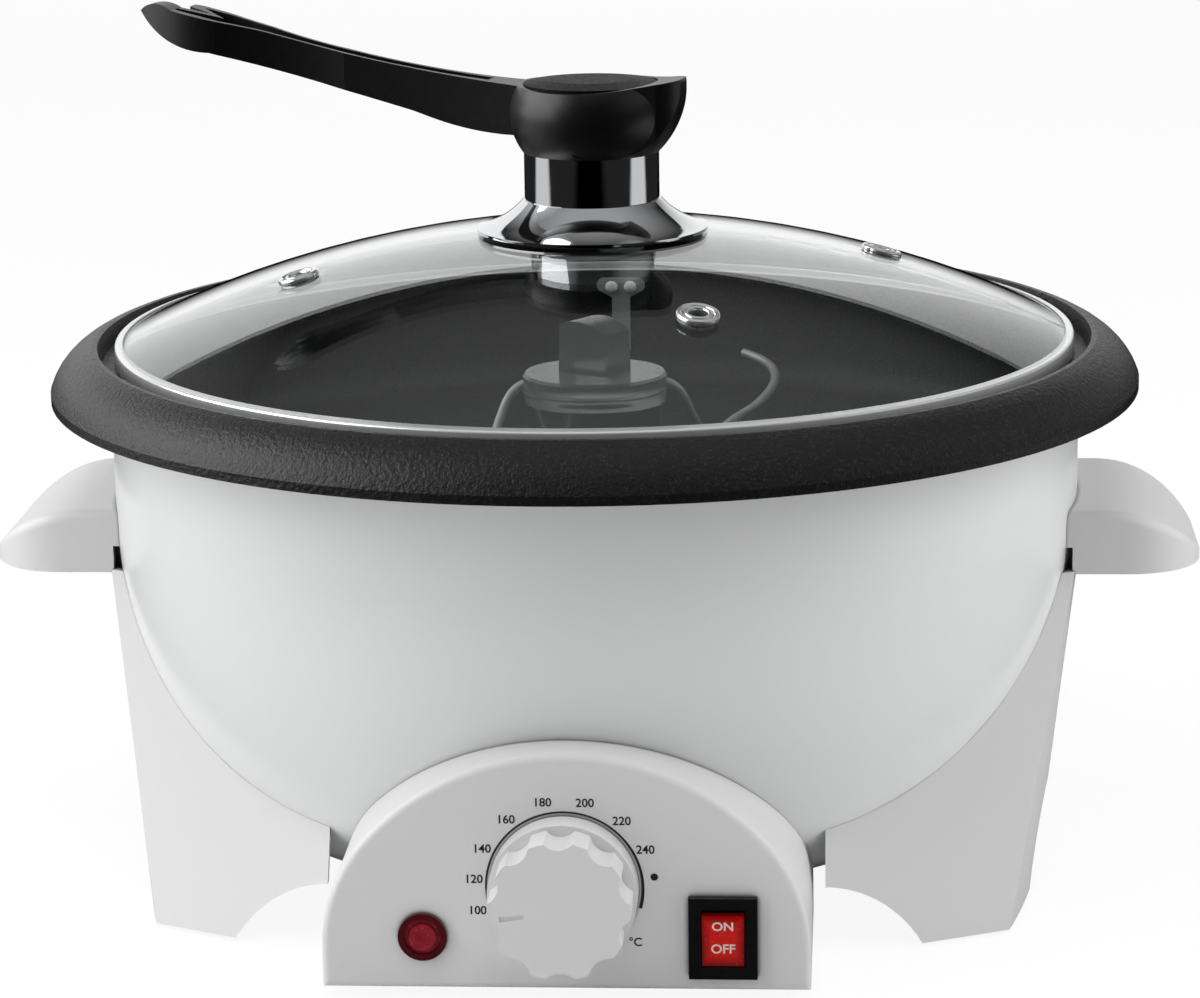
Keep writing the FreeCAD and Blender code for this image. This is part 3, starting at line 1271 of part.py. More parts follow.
clamps = []
for angle in around(3, 30):
    clamp = box("clamp_%d" % angle, 22, 10, 1.5, S.element_circle, 0, 0)
    holder = group("clamp_place_%d" % angle, [clamp])
    holder.Placement = Placement(
        Vector(0, 0, (element_z - S.element_radius - S.seat - 1.5).value),
        Rotation(Vector(0, 0, 1), angle))
    clamps.append(holder)
element_clamps = keep(group("element_clamps_group", clamps), "element_clamps")

reflector_holes = [(x, y, S.rod_radius + S.seat) for x, y in motor_spokes]
heat_reflector = keep(padded(
    "heat_reflector_body", "XY_Plane", [], 0.8, S.reflector_z, False,
    [(0, 0, S.reflector_radius), (0, 0, S.shaft_radius + 4)] + reflector_holes),
    "heat_reflector")

cover_top = bowl_floor - S.seat
rods = []
for number, (x, y) in enumerate(motor_spokes):
    rods.append(cylinder("tie_rod_%d" % number, S.rod_radius, pan_base - cover_top - 2 * S.seat,
                         x, y, cover_top + S.seat))
tie_rods = keep(group("tie_rods_group", rods), "tie_rods")

# ---------------------------------------------------------------- bottom cover
# Pressed plate with a ring of air slots, screwed to the bowl's flange.

cover_bottom = cover_top - S.cover_wall
bottom_cover = padded("bottom_cover_body", "XY_Plane", [], S.cover_wall, cover_bottom, False,
                      [(0, 0, cover_radius)] + [
                          (x, y, S.screw_radius + S.seat) for x, y in cover_places])
slot_sketch = new_sketch(bottom_cover, "slot_outline", "XY_Plane")
slot_half = S.slot_width / 2
draw(slot_sketch, [(S.slot_start, -slot_half), (S.slot_end, -slot_half), left(slot_half * 1.001),
                   (S.slot_end, slot_half), (S.slot_start, slot_half), left(slot_half * 1.001)])
slot_pocket = bottom_cover.newObject("PartDesign::Pocket", "slot_pocket")
slot_pocket.Profile = (slot_sketch, [""])
slot_pocket.Type = "ThroughAll"
slot_pocket.Reversed = True
slot_pattern = bottom_cover.newObject("PartDesign::PolarPattern", "slot_pattern")
slot_pattern.Originals = [slot_pocket]
slot_pattern.Axis = (slot_sketch, ["N_Axis"])
slot_pattern.Angle = 360
bind(slot_pattern, "Occurrences", S.slot_count)
bottom_cover.Tip = slot_pattern
keep(bottom_cover, "bottom_cover")

screws = []
for number, (x, y) in enumerate(cover_places):
    screws.append(screw("cover_screw_%d" % number, S.screw_radius, 5, 1.6, x, y,
                        cover_bottom - S.seat))
cover_screws = keep(group("cover_screws_group", screws), "cover_screws")

# ---------------------------------------------------------------- cord inlet
bush_neck = as_size(8)
bush_head = as_size(3)
cord_side_drop = S.bowl_straight_end - S.cord_height
cord_side_y = S.bowl_radius - S.bowl_side_radius + root(
    S.bowl_side_radius * S.bowl_side_radius - cord_side_drop * cord_side_drop)
cord_bush = keep(revolved("cord_bush_body", [
    (S.cord_bore, 0), (S.cord_hole - S.seat, 0), (S.cord_hole - S.seat, bush_neck),
    (S.cord_hole + 2, bush_neck), (S.cord_hole + 2, bush_neck + bush_head),
    (S.cord_bore, bush_neck + bush_head)]), "cord_bush")
cord_bush.Placement = Placement(Vector(), Rotation(Vector(1, 0, 0), -90))
place(cord_bush, 0, cord_side_y - 3.3, S.cord_height)

# ---------------------------------------------------------------- checks and files
doc.recompute()
failed = [obj.Name for obj in doc.Objects if "Invalid" in obj.State or "Error" in obj.State]
if failed:
    raise RuntimeError("features failed: %s" % failed)
os.makedirs("parts", exist_ok=True)
for node in nodes:
    if node.Shape.isNull() or not node.Shape.isValid():
        raise RuntimeError("bad shape: " + node.Label)
for node in nodes:
    node.Shape.exportStep("parts/%s.step" % node.Label)
    print(node.Label, len(node.Shape.Solids), round(node.Shape.Volume), node.Shape.BoundBox)
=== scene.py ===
import bmesh
import bpy
import numpy as np
from mathutils import Matrix, Vector
from mathutils.bvhtree import BVHTree


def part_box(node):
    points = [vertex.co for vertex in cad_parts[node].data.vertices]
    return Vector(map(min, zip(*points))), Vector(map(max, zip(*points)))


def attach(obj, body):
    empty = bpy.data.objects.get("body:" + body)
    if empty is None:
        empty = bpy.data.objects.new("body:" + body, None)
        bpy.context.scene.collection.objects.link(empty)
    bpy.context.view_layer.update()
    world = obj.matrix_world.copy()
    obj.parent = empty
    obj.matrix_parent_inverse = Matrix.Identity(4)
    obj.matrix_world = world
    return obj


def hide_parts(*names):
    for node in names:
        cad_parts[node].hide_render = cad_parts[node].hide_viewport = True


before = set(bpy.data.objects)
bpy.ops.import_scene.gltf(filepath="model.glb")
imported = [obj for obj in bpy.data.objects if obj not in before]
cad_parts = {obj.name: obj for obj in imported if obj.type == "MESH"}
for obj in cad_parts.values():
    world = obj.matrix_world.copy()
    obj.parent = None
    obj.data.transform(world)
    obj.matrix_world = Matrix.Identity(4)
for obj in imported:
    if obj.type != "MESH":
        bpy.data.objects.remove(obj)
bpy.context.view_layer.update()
scene = bpy.context.scene
scene.view_settings.view_transform = "Standard"

# ---- Camera -------------------------------------------------------------------------------
# A long lens a little over a metre away, looking slightly down on the roaster from its front.

lens = bpy.data.cameras.new("studio_camera")
lens.sensor_fit = "HORIZONTAL"
lens.sensor_width = 36.0  # mm
lens.lens = 118.77  # mm
lens.clip_start, lens.clip_end = 0.05, 30.0
camera_place = (0.0772, -1.1474, 0.3803)
camera = bpy.data.objects.new("studio_camera", lens)
scene.collection.objects.link(camera)
# It points down by the pitch, leans by the roll and turns by the yaw, in that order.
pitch, roll, yaw = np.radians((13.644, 0.848, 3.8))
level = np.array((1.0, 0.0, 0.0))
rise = np.array((0.0, np.sin(pitch), np.cos(pitch)))
sight = np.array((0.0, np.cos(pitch), -np.sin(pitch)))
turn = np.array(((np.cos(yaw), -np.sin(yaw), 0), (np.sin(yaw), np.cos(yaw), 0), (0, 0, 1)))
across = turn @ (level * np.cos(roll) - rise * np.sin(roll))
upward = turn @ (level * np.sin(roll) + rise * np.cos(roll))
camera.matrix_world = Matrix(np.vstack([
    np.column_stack([across, upward, -turn @ sight, camera_place]),
    (0, 0, 0, 1)]).tolist())
scene.camera = camera

# ---- Studio -------------------------------------------------------------------------------
# A white paper sweep under and behind the roaster, a softbox at each side and one overhead. The
# room in front is dark, which is what the black middle of the chrome mirrors, between two pale
# side walls and under a pale ceiling.


def linear(code):
    """An sRGB hex code as linear red, green, blue and one."""
    values = np.array([int(code[i:i + 2], 16) for i in (0, 2, 4)]) / 255.0
    values = np.where(values <= 0.04045, values / 12.92, ((values + 0.055) / 1.055) ** 2.4)
    return (*values.tolist(), 1.0)


def add(tree, kind, inputs=(), **settings):
    """Adds one shader node with its settings; each input is a value or the socket that feeds it.
    A Map Range node reads the span from input 1 to input 2 and makes it run from 3 to 4."""
    made = tree.nodes.new(kind)
    for name, value in settings.items():
        setattr(made, name, value)
    for socket, value in dict(inputs).items():
        if isinstance(value, bpy.types.NodeSocket):
            tree.links.new(value, made.inputs[socket])
        else:
            made.inputs[socket].default_value = value
    return made


def surface(name, points):
    """A mesh from a grid of points, rows by columns by three, with one face per grid cell."""
    rows, columns = points.shape[:2]
    index = np.arange(rows * columns).reshape(rows, columns)
    faces = np.stack([index[:-1, :-1], index[:-1, 1:], index[1:, 1:], index[1:, :-1]], -1)
    mesh = bpy.data.meshes.new(name)
    mesh.from_pydata(points.reshape(-1, 3).tolist(), [], faces.reshape(-1, 4).tolist())
    mesh.shade_smooth()
    made = bpy.data.objects.new(name, mesh)
    scene.collection.objects.link(made)
    return made


# The sweep's section: floor, a quarter circle, and a wall as high as the bright band that
# the lid mirrors.
sweep_front, sweep_back, sweep_top, sweep_bend, sweep_half = -3.5, 2.3, 1.35, 0.5, 3.5
bend = np.linspace(0, np.pi / 2, 24)
section = np.vstack([
    [(sweep_front, 0.0)],
    np.column_stack([sweep_back - sweep_bend + sweep_bend * np.sin(bend),
                     sweep_bend - sweep_bend * np.cos(bend)]),
    [(sweep_back, sweep_top)]])
sweep_x = np.linspace(-sweep_half, sweep_half, 3)
sweep = surface("paper_sweep", np.stack([
    np.repeat(sweep_x[:, None], len(section), 1),
    np.repeat(section[None, :, 0], 3, 0),
    np.repeat(section[None, :, 1], 3, 0)], -1))
paper = bpy.data.materials.new("white_paper")
paper.use_nodes = True
tree = paper.node_tree
tree.nodes.clear()
path = add(tree, "ShaderNodeLightPath")
spot = add(tree, "ShaderNodeSeparateXYZ", {
    0: add(tree, "ShaderNodeTexCoord").outputs["Object"]})
# What mirrors see of the paper: a bright wall that darkens to the right, two bright cards on
# the floor at the sides, and nearly black floor elsewhere.
wall = add(tree, "ShaderNodeMapRange", {0: spot.outputs[0], 1: 0.2, 2: 1.4, 3: 1.08, 4: 0.3})
is_wall = add(tree, "ShaderNodeMapRange", {0: spot.outputs[2], 1: 0.02, 2: 0.3, 3: 0.0, 4: 1.0})
depth = add(tree, "ShaderNodeMath", {0: spot.outputs[1]}, operation="ABSOLUTE")
card = add(tree, "ShaderNodeMapRange", {0: depth.outputs[0], 1: 0.3, 2: 0.42, 3: 0.75, 4: 0.02})
aside = add(tree, "ShaderNodeMath", {0: spot.outputs[0]}, operation="ABSOLUTE")
far = add(tree, "ShaderNodeMapRange", {0: aside.outputs[0], 1: 0.4, 2: 0.62, 3: 0.0, 4: 1.0})
cards = add(tree, "ShaderNodeMath", {0: card.outputs[0], 1: far.outputs[0]},
            operation="MULTIPLY")
mirrored = add(tree, "ShaderNodeMix", {0: is_wall.outputs[0], 2: cards.outputs[0],
                                       3: wall.outputs[0]}, data_type="FLOAT")
paper_white = 1.02
strength = add(tree, "ShaderNodeMix", {0: path.outputs["Is Glossy Ray"], 2: paper_white,
                                       3: mirrored.outputs[0]}, data_type="FLOAT")
# The camera sees white paper with a faint trace of the roaster's shadow.
shadowless_share = 0.9
faint = add(tree, "ShaderNodeMath", {0: path.outputs["Is Camera Ray"], 1: shadowless_share},
            operation="MULTIPLY")
seen = add(tree, "ShaderNodeMath", {0: faint.outputs[0],
                                    1: path.outputs["Is Glossy Ray"]}, operation="MAXIMUM")
seen = add(tree, "ShaderNodeMath", {0: seen.outputs[0],
                                    1: path.outputs["Is Transmission Ray"]}, operation="MAXIMUM")
matt = add(tree, "ShaderNodeBsdfDiffuse", {"Color": linear("F2F2F2")})
white = add(tree, "ShaderNodeEmission", {"Color": linear("FFFFFF"),
                                         "Strength": strength.outputs[0]})
mixed = add(tree, "ShaderNodeMixShader", {0: seen.outputs[0], 1: matt.outputs[0],
                                          2: white.outputs[0]})
add(tree, "ShaderNodeOutputMaterial", {"Surface": mixed.outputs[0]})
sweep.data.materials.append(paper)

# The room: an even dim light on everything matt, white behind the sweep, and for mirrors a dark
# front, a pale ceiling, and side walls that start a little above the floor.
room = bpy.data.worlds.new("dark_room")
scene.world = room
room.use_nodes = True
tree = room.node_tree
tree.nodes.clear()
path = add(tree, "ShaderNodeLightPath")
aim = add(tree, "ShaderNodeSeparateXYZ", {
    0: add(tree, "ShaderNodeTexCoord").outputs["Generated"]})
ceiling = add(tree, "ShaderNodeMapRange", {0: aim.outputs[2], 1: 0.45, 2: 0.95, 3: 0.015,
                                           4: 0.42})
ambient = add(tree, "ShaderNodeBackground", {"Color": linear("FFFFFF"), "Strength": 0.17})
left_wall = add(tree, "ShaderNodeMapRange", {0: aim.outputs[0], 1: -0.9, 2: -0.3, 3: 0.9,
                                             4: 0.0})
right_wall = add(tree, "ShaderNodeMapRange", {0: aim.outputs[0], 1: 0.5, 2: 0.85, 3: 0.0,
                                              4: 0.4})
above = add(tree, "ShaderNodeMapRange", {0: aim.outputs[2], 1: 0.1, 2: 0.35, 3: 0.0, 4: 1.0})
walls = add(tree, "ShaderNodeMath", {0: left_wall.outputs[0], 1: right_wall.outputs[0]},
            operation="ADD")
walls = add(tree, "ShaderNodeMath", {0: walls.outputs[0], 1: above.outputs[0]},
            operation="MULTIPLY")
pale = add(tree, "ShaderNodeMath", {0: walls.outputs[0], 1: ceiling.outputs[0]},
           operation="MAXIMUM")
mirrored = add(tree, "ShaderNodeBackground", {"Color": linear("FFFFFF"),
                                              "Strength": pale.outputs[0]})
white = add(tree, "ShaderNodeBackground", {"Color": linear("FFFFFF"), "Strength": 1.0})
dim = add(tree, "ShaderNodeMixShader", {0: path.outputs["Is Glossy Ray"], 1: ambient.outputs[0],
                                        2: mirrored.outputs[0]})
shown = add(tree, "ShaderNodeMixShader", {0: path.outputs["Is Camera Ray"], 1: dim.outputs[0],
                                          2: white.outputs[0]})
add(tree, "ShaderNodeOutputWorld", {"Surface": shown.outputs[0]})

softboxes = {  # name: place, aim, width, height, watts
    "left_softbox": ((-1.45, -0.2, 0.8), (0, 0, 0.12), 2.0, 1.5, 23.5),
    "right_softbox": ((1.5, -0.05, 0.8), (0, 0, 0.12), 1.0, 1.2, 16.0),
    "top_softbox": ((-0.2, -0.4, 1.7), (0, 0, 0.1), 1.6, 1.0, 13.5)}
for name, (place, aim, width, height, watts) in softboxes.items():
    lamp = bpy.data.lights.new(name, "AREA")
    lamp.shape = "RECTANGLE"
    lamp.size = width
    lamp.size_y = height
    lamp.energy = watts
    box = bpy.data.objects.new(name, lamp)
    box.location = place
    box.rotation_euler = (Vector(place) - Vector(aim)).to_track_quat("Z", "Y").to_euler()
    box.visible_camera = False
    box.visible_transmission = False
    scene.collection.objects.link(box)
for name in ("right_softbox", "top_softbox"):
    bpy.data.objects[name].visible_glossy = False

# ---- Bowl ---------------------------------------------------------------------------------
# Deep-drawn steel, sprayed with white enamel and baked: a hard gloss skin with a faint
# orange peel and no grain.


def finish(name, colour, roughness, **sockets):
    """A new material and its Principled shader, with its colour, roughness and other sockets
    set."""
    made = bpy.data.materials.new(name)
    made.use_nodes = True
    made.node_tree.nodes.clear()
    shader = add(made.node_tree, "ShaderNodeBsdfPrincipled",
                 {"Base Color": linear(colour), "Roughness": roughness, **sockets})
    add(made.node_tree, "ShaderNodeOutputMaterial", {"Surface": shader.outputs[0]})
    return made, made.node_tree, shader


def dress(material, *names):
    """Puts a material on CAD nodes or pieces in place of what they came with."""
    for name in names:
        mesh = bpy.data.objects[name].data
        mesh.materials.clear()
        mesh.materials.append(material)


def grain(tree, shader, size_mm, depth_mm, detail=2.0, colour=None, roughness=None):
    """Noise with grains of a real size, as bump of a real depth, and optionally as a colour
    pair or a roughness pair between which the grains vary."""
    place = add(tree, "ShaderNodeTexCoord").outputs["Object"]
    noise = add(tree, "ShaderNodeTexNoise", {"Vector": place, "Scale": 1000.0 / size_mm,
                                             "Detail": detail, "Roughness": 0.6})
    bump = add(tree, "ShaderNodeBump", {"Strength": 1.0, "Distance": depth_mm / 1000.0,
                                        "Height": noise.outputs["Fac"]})
    tree.links.new(bump.outputs[0], shader.inputs["Normal"])
    if colour:
        mix = add(tree, "ShaderNodeMix", {0: noise.outputs["Fac"], 6: linear(colour[0]),
                                          7: linear(colour[1])}, data_type="RGBA")
        tree.links.new(mix.outputs[2], shader.inputs["Base Color"])
    if roughness:
        spread = add(tree, "ShaderNodeMapRange", {0: noise.outputs["Fac"], 1: 0.3, 2: 0.7,
                                                  3: roughness[0], 4: roughness[1]})
        tree.links.new(spread.outputs[0], shader.inputs["Roughness"])
    return noise


enamel, tree, shader = finish("baked_white_enamel", "E4E5E5", 0.24, IOR=1.5)
grain(tree, shader, 1.2, 0.0002, 0.0)
dress(enamel, "bowl_shell", "bottom_cover")

# ---- Pan ----------------------------------------------------------------------------------
# Cast aluminium under two coats of black non-stick; the top coat is full of pale mineral
# flecks, and its surface is slightly pebbled.

pebble_mm, fleck_mm = 1.3, 0.9
nonstick, tree, shader = finish("flecked_nonstick_coat", "1A1A1B", 0.42, IOR=1.42)
place = add(tree, "ShaderNodeTexCoord").outputs["Object"]
pebble = add(tree, "ShaderNodeTexNoise", {"Vector": place, "Scale": 1000 / pebble_mm,
                                          "Detail": 3.0, "Roughness": 0.65})
fleck = add(tree, "ShaderNodeTexVoronoi", {"Vector": place, "Scale": 1000 / fleck_mm,
                                           "Randomness": 1.0})
speck = add(tree, "ShaderNodeMapRange", {0: fleck.outputs["Distance"], 1: 0.1, 2: 0.45,
                                         3: 1.0, 4: 0.0})
# Only two cells in five hold a fleck.
picked = add(tree, "ShaderNodeSeparateColor", {0: fleck.outputs["Color"]})
rare = add(tree, "ShaderNodeMath", {0: picked.outputs[0], 1: 0.6}, operation="GREATER_THAN")
strong = add(tree, "ShaderNodeMath", {0: speck.outputs[0], 1: rare.outputs[0]},
             operation="MULTIPLY")
tone = add(tree, "ShaderNodeMix", {0: pebble.outputs["Fac"], 6: linear("0D0D0E"),
                                   7: linear("1B1B1C")}, data_type="RGBA")
flecked = add(tree, "ShaderNodeMix", {0: strong.outputs[0], 6: tone.outputs[2],
                                      7: linear("2C2C2D")}, data_type="RGBA")
tree.links.new(flecked.outputs[2], shader.inputs["Base Color"])
gloss = add(tree, "ShaderNodeMapRange", {0: pebble.outputs["Fac"], 1: 0.3, 2: 0.7, 3: 0.26,
                                         4: 0.4})
tree.links.new(gloss.outputs[0], shader.inputs["Roughness"])
bump = add(tree, "ShaderNodeBump", {"Strength": 1.0, "Distance": 0.0004,
                                    "Height": pebble.outputs["Fac"]})
tree.links.new(bump.outputs[0], shader.inputs["Normal"])
dress(nonstick, "cooking_pan")

# ---- Shaft and fasteners ------------------------------------------------------------------
# Turned and pressed stainless steel left bright: the drive shaft and its ring, the stirrer's
# skirt, and every screw, rod, nut and clamp.

steel, tree, shader = finish("bright_stainless_steel", "C9CACB", 0.2, Metallic=1.0)
grain(tree, shader, 1.2, 0.004, 2.0, None, (0.14, 0.26))
dress(steel, "stirrer_skirt", "lid_washer", "lid_screw", "leg_screws", "retaining_ring",
      "drive_shaft", "tie_rods", "rod_nuts", "motor_screws", "cover_screws", "rocker_pin",
      "thermostat_spindle", "thermostat_nut", "element_clamps")

# ---- Baffle -------------------------------------------------------------------------------
# A strip of tumbled stainless steel on the pan's back wall, under two polished round rivets.

# Both are set less than fully metallic: full metal mirrors the black pan and turns out too dark.
tumbled, tree, shader = finish("tumbled_stainless_steel", "B4B5B6", 0.4, Metallic=0.35)
grain(tree, shader, 0.9, 0.004, 2.0, ("9A9B9C", "ACADAE"), (0.34, 0.48))
dress(tumbled, "baffle_strip")
polished, tree, shader = finish("polished_rivet_steel", "F2F2F3", 0.16, Metallic=0.15)
grain(tree, shader, 2.0, 0.002, 1.0, None, (0.12, 0.2))


def welded(piece, shell=True):
    """Merges the doubles along a seam and at a pole; a closed shell's faces then turn outwards."""
    form = bmesh.new()
    form.from_mesh(piece.data)
    bmesh.ops.remove_doubles(form, verts=form.verts, dist=0.000001)  # a thousandth of a mm
    if shell:
        bmesh.ops.recalc_face_normals(form, faces=form.faces)
    form.to_mesh(piece.data)
    form.free()
    return piece


def turned(name, profile, frames, sides=40):
    """Closed rings: every (radius, height) of the profile turned about each frame's own axis.
    A frame is a point, and the three unit directions that its ring lies in and rises along."""
    angle = np.linspace(0, 2 * np.pi, sides + 1)
    radius = profile[:, 0, None, None]
    height = profile[:, 1, None, None]
    made = []
    for number, (foot, one, two, rise) in enumerate(frames):
        points = (foot + radius * (np.cos(angle)[None, :, None] * one
                                   + np.sin(angle)[None, :, None] * two) + height * rise)
        made.append(welded(surface("%s_%d" % (name, number), points)))
    return made


# Each head is a quarter ellipse turned about the rivet's axis, over a flat base on the strip.
low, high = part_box("baffle_rivets")
rivet_z = (low.z + high.z) / 2
rivet_spread, head_radius, head_rise, head_sunk = 0.0031, 0.0021, 0.0013, 0.0002
sweep_angle = np.linspace(0, np.pi / 2, 12)
head = np.vstack([[(0.0, 0.0)], np.column_stack([head_radius * np.cos(sweep_angle),
                                                 head_rise * np.sin(sweep_angle)])])
head[-1, 0] = 0.0
forward = np.array((0.0, -1.0, 0.0))
strip_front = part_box("baffle_strip")[0].y
rivet_frames = [(np.array((side * rivet_spread, strip_front + head_sunk, rivet_z)),
                 np.array((1.0, 0.0, 0.0)), np.array((0.0, 0.0, 1.0)), forward)
                for side in (-1, 1)]
for rivet in turned("baffle_rivet_head", head, rivet_frames):
    rivet.data.materials.append(polished)
    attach(rivet, "base")
    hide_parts("baffle_rivets")

# ---- Heating ------------------------------------------------------------------------------
# A sheathed element bent to a ring, dull from heat, over a bright aluminium dish, with the
# thermostat's copper bulb and tube.

sheath, tree, shader = finish("heat_dulled_element_sheath", "5A5753", 0.5, Metallic=1.0)
grain(tree, shader, 3.0, 0.01, 3.0, ("4A4743", "6A655E"), (0.4, 0.6))
dress(sheath, "heating_element")
foil, tree, shader = finish("bright_aluminium_sheet", "D4D5D7", 0.3, Metallic=1.0)
grain(tree, shader, 6.0, 0.01, 2.0, None, (0.22, 0.4))
dress(foil, "heat_reflector")
copper, tree, shader = finish("drawn_copper", "B87350", 0.3, Metallic=1.0)
grain(tree, shader, 2.0, 0.004, 2.0, ("AD6A48", "C07C59"), (0.24, 0.4))
dress(copper, "sensor_bulb", "capillary_tube")

# ---- Drive --------------------------------------------------------------------------------
# Zinc-plated pressed steel round the motor and its gears, a brass bush for the shaft, and a
# terminal block of white nylon.

zinc, tree, shader = finish("zinc_plated_steel", "B9BBBE", 0.38, Metallic=1.0)
grain(tree, shader, 4.0, 0.008, 3.0, ("AEB0B3", "C4C6C8"), (0.3, 0.46))
dress(zinc, "gearbox_case", "motor_body", "motor_bracket")
brass, tree, shader = finish("turned_brass", "C9A45C", 0.28, Metallic=1.0)
grain(tree, shader, 1.5, 0.004, 2.0, None, (0.22, 0.34))
dress(brass, "shaft_bush")
nylon, tree, shader = finish("natural_nylon", "E6E3DA", 0.5)
grain(tree, shader, 0.8, 0.01, 2.0, ("E3E0D6", "E9E6DE"), (0.44, 0.56))
dress(nylon, "terminal_block")

# ---- Legs, housing and knob ---------------------------------------------------------------
# Injection-moulded white ABS with a fine spark-eroded texture, which breaks up every
# highlight.

moulded, tree, shader = finish("satin_white_abs", "DBDBDB", 0.42, IOR=1.5)
noise = grain(tree, shader, 0.5, 0.012, 2.0, None, (0.38, 0.48))
shade = add(tree, "ShaderNodeMix", {0: noise.outputs["Fac"], 6: linear("D9D9D9"),
                                    7: linear("DDDDDD")}, data_type="RGBA")
# Painted shade: within 3 mm of another surface the plastic's colour darkens towards grey, as shade
# falls in the joints.
joint_reach = 0.003
joint = add(tree, "ShaderNodeAmbientOcclusion", {"Distance": joint_reach}, samples=8)
open_air = add(tree, "ShaderNodeMapRange", {0: joint.outputs["AO"], 1: 0.4, 2: 0.75, 3: 0.0,
                                            4: 1.0})
painted_joint_shade = add(tree, "ShaderNodeMix", {0: open_air.outputs[0], 6: linear("505050"),
                                      7: shade.outputs[2]}, data_type="RGBA")
tree.links.new(painted_joint_shade.outputs[2], shader.inputs["Base Color"])
dress(moulded, "right_leg_handle", "left_leg_handle", "control_housing", "housing_cover")
# The dial is the same plastic with a smoother skin.
smooth_white, tree, shader = finish("smooth_white_abs", "DBDBDB", 0.3, IOR=1.5)
grain(tree, shader, 0.7, 0.0015, 1.0, ("D9D9D9", "DDDDDD"), (0.28, 0.32))
dress(smooth_white, "temperature_knob")

# ---- Feet, bush and thermostat case -------------------------------------------------------
# Moulded matt black rubber for the feet, the cord's bush and the lid's seal, and brown phenolic
# for the thermostat's case.

rubber, tree, shader = finish("black_rubber", "161616", 0.75)
grain(tree, shader, 0.6, 0.02, 2.0, ("121212", "1C1C1C"), (0.68, 0.85))
dress(rubber, "rubber_feet", "cord_bush", "lid_gasket")
phenolic, tree, shader = finish("brown_phenolic", "3A2518", 0.4)
grain(tree, shader, 0.7, 0.01, 2.0, ("33200F", "44301F"), (0.34, 0.5))
dress(phenolic, "thermostat_body")

# ---- Panel print --------------------------------------------------------------------------
# Pad-printed black ink: the temperatures round the knob, the unit and an off dot. The same black
# also makes a thin dark arc round the knob's skirt.

ink_film = 0.00004
ink, tree, shader = finish("black_printing_ink", "1B1B1D", 0.45)
grain(tree, shader, 0.4, 0.004, 2.0, ("161618", "242426"), (0.4, 0.5))


def lettering(name, words, height, place):
    """Flat words of a given capital height, centred on place(u, v)'s origin, as a thin mesh.
    place turns a point of the flat text into a point of the object."""
    text = bpy.data.curves.new(name, "FONT")
    text.body = words
    text.size = height / 0.729  # capitals are 0.729 of the type's size
    text.align_x = "CENTER"
    text.align_y = "CENTER"
    text.resolution_u = 4
    text.offset = height * 0.025  # a little bolder than the plain type
    writer = bpy.data.objects.new(name + "_text", text)
    scene.collection.objects.link(writer)
    bpy.context.view_layer.update()
    mesh = bpy.data.meshes.new_from_object(writer.evaluated_get(
        bpy.context.evaluated_depsgraph_get()))
    bpy.data.objects.remove(writer)
    flat = np.empty(len(mesh.vertices) * 3)
    mesh.vertices.foreach_get("co", flat)
    flat = flat.reshape(-1, 3)
    flat[:, 1] -= (flat[:, 1].max() + flat[:, 1].min()) / 2
    mesh.vertices.foreach_set("co", np.array([place(u, v) for u, v, _ in flat]).ravel())
    mesh.name = name
    made = bpy.data.objects.new(name, mesh)
    scene.collection.objects.link(made)
    return made


panel_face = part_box("control_housing")[0].y
dial_height, scale_radius, digit_height = 0.032, 0.0242, 0.0024
# Each word with its angle in degrees, counted up from the right.
scale_marks = {"100": 196, "120": 175, "140": 154, "160": 129, "180": 103, "200": 76,
               "220": 50, "240": 26, "°C": -39}
for words, angle in scale_marks.items():
    centre_x = scale_radius * np.cos(np.radians(angle))
    centre_z = dial_height + scale_radius * np.sin(np.radians(angle))
    mark = lettering("scale_" + (words if words.isdigit() else "unit"), words, digit_height,
                     lambda u, v: (centre_x + u, panel_face - ink_film, centre_z + v))
    mark.data.materials.append(ink)
    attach(mark, "base")

# The off dot is a disc of the same ink. Its rows run inwards, so that it faces the front.
round_angle = np.linspace(0, 2 * np.pi, 33)
dot_radius, dot_angle = 0.0010, np.radians(7)
ring = np.linspace(dot_radius, 0, 4)
dot_x = scale_radius * np.cos(dot_angle)
dot_z = dial_height + scale_radius * np.sin(dot_angle)
off_dot = welded(surface("scale_off_dot", np.stack([
    dot_x + ring[:, None] * np.cos(round_angle),
    np.full((4, 33), panel_face - ink_film),
    dot_z + ring[:, None] * np.sin(round_angle)], -1)), shell=False)
off_dot.data.materials.append(ink)
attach(off_dot, "base")

# A thin dark arc runs just outside the knob's skirt and widens towards its right end.
arc_from, arc_to = np.radians((-16.0, 190.0))
arc_angle = np.linspace(arc_from, arc_to, 121)
arc_inner, arc_thin, arc_swell, swell_over = 0.0206, 0.0005, 0.0004, np.radians(60)
arc_width = arc_thin + arc_swell * np.clip(1 - (arc_angle - arc_from) / swell_over, 0, 1)
# The outer row comes first, so that the arc faces the front.
arc_radius = arc_inner + arc_width * np.array((1.0, 0.0))[:, None]
scale_arc = surface("scale_arc", np.stack([
    arc_radius * np.cos(arc_angle), np.full((2, 121), panel_face - ink_film),
    dial_height + arc_radius * np.sin(arc_angle)], -1))
scale_arc.data.materials.append(ink)
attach(scale_arc, "base")

# ---- Lamp and switch ----------------------------------------------------------------------
# A dark red neon lens in a smoked bezel, and a lit red polycarbonate rocker in a black nylon
# frame, with its two words printed on it.

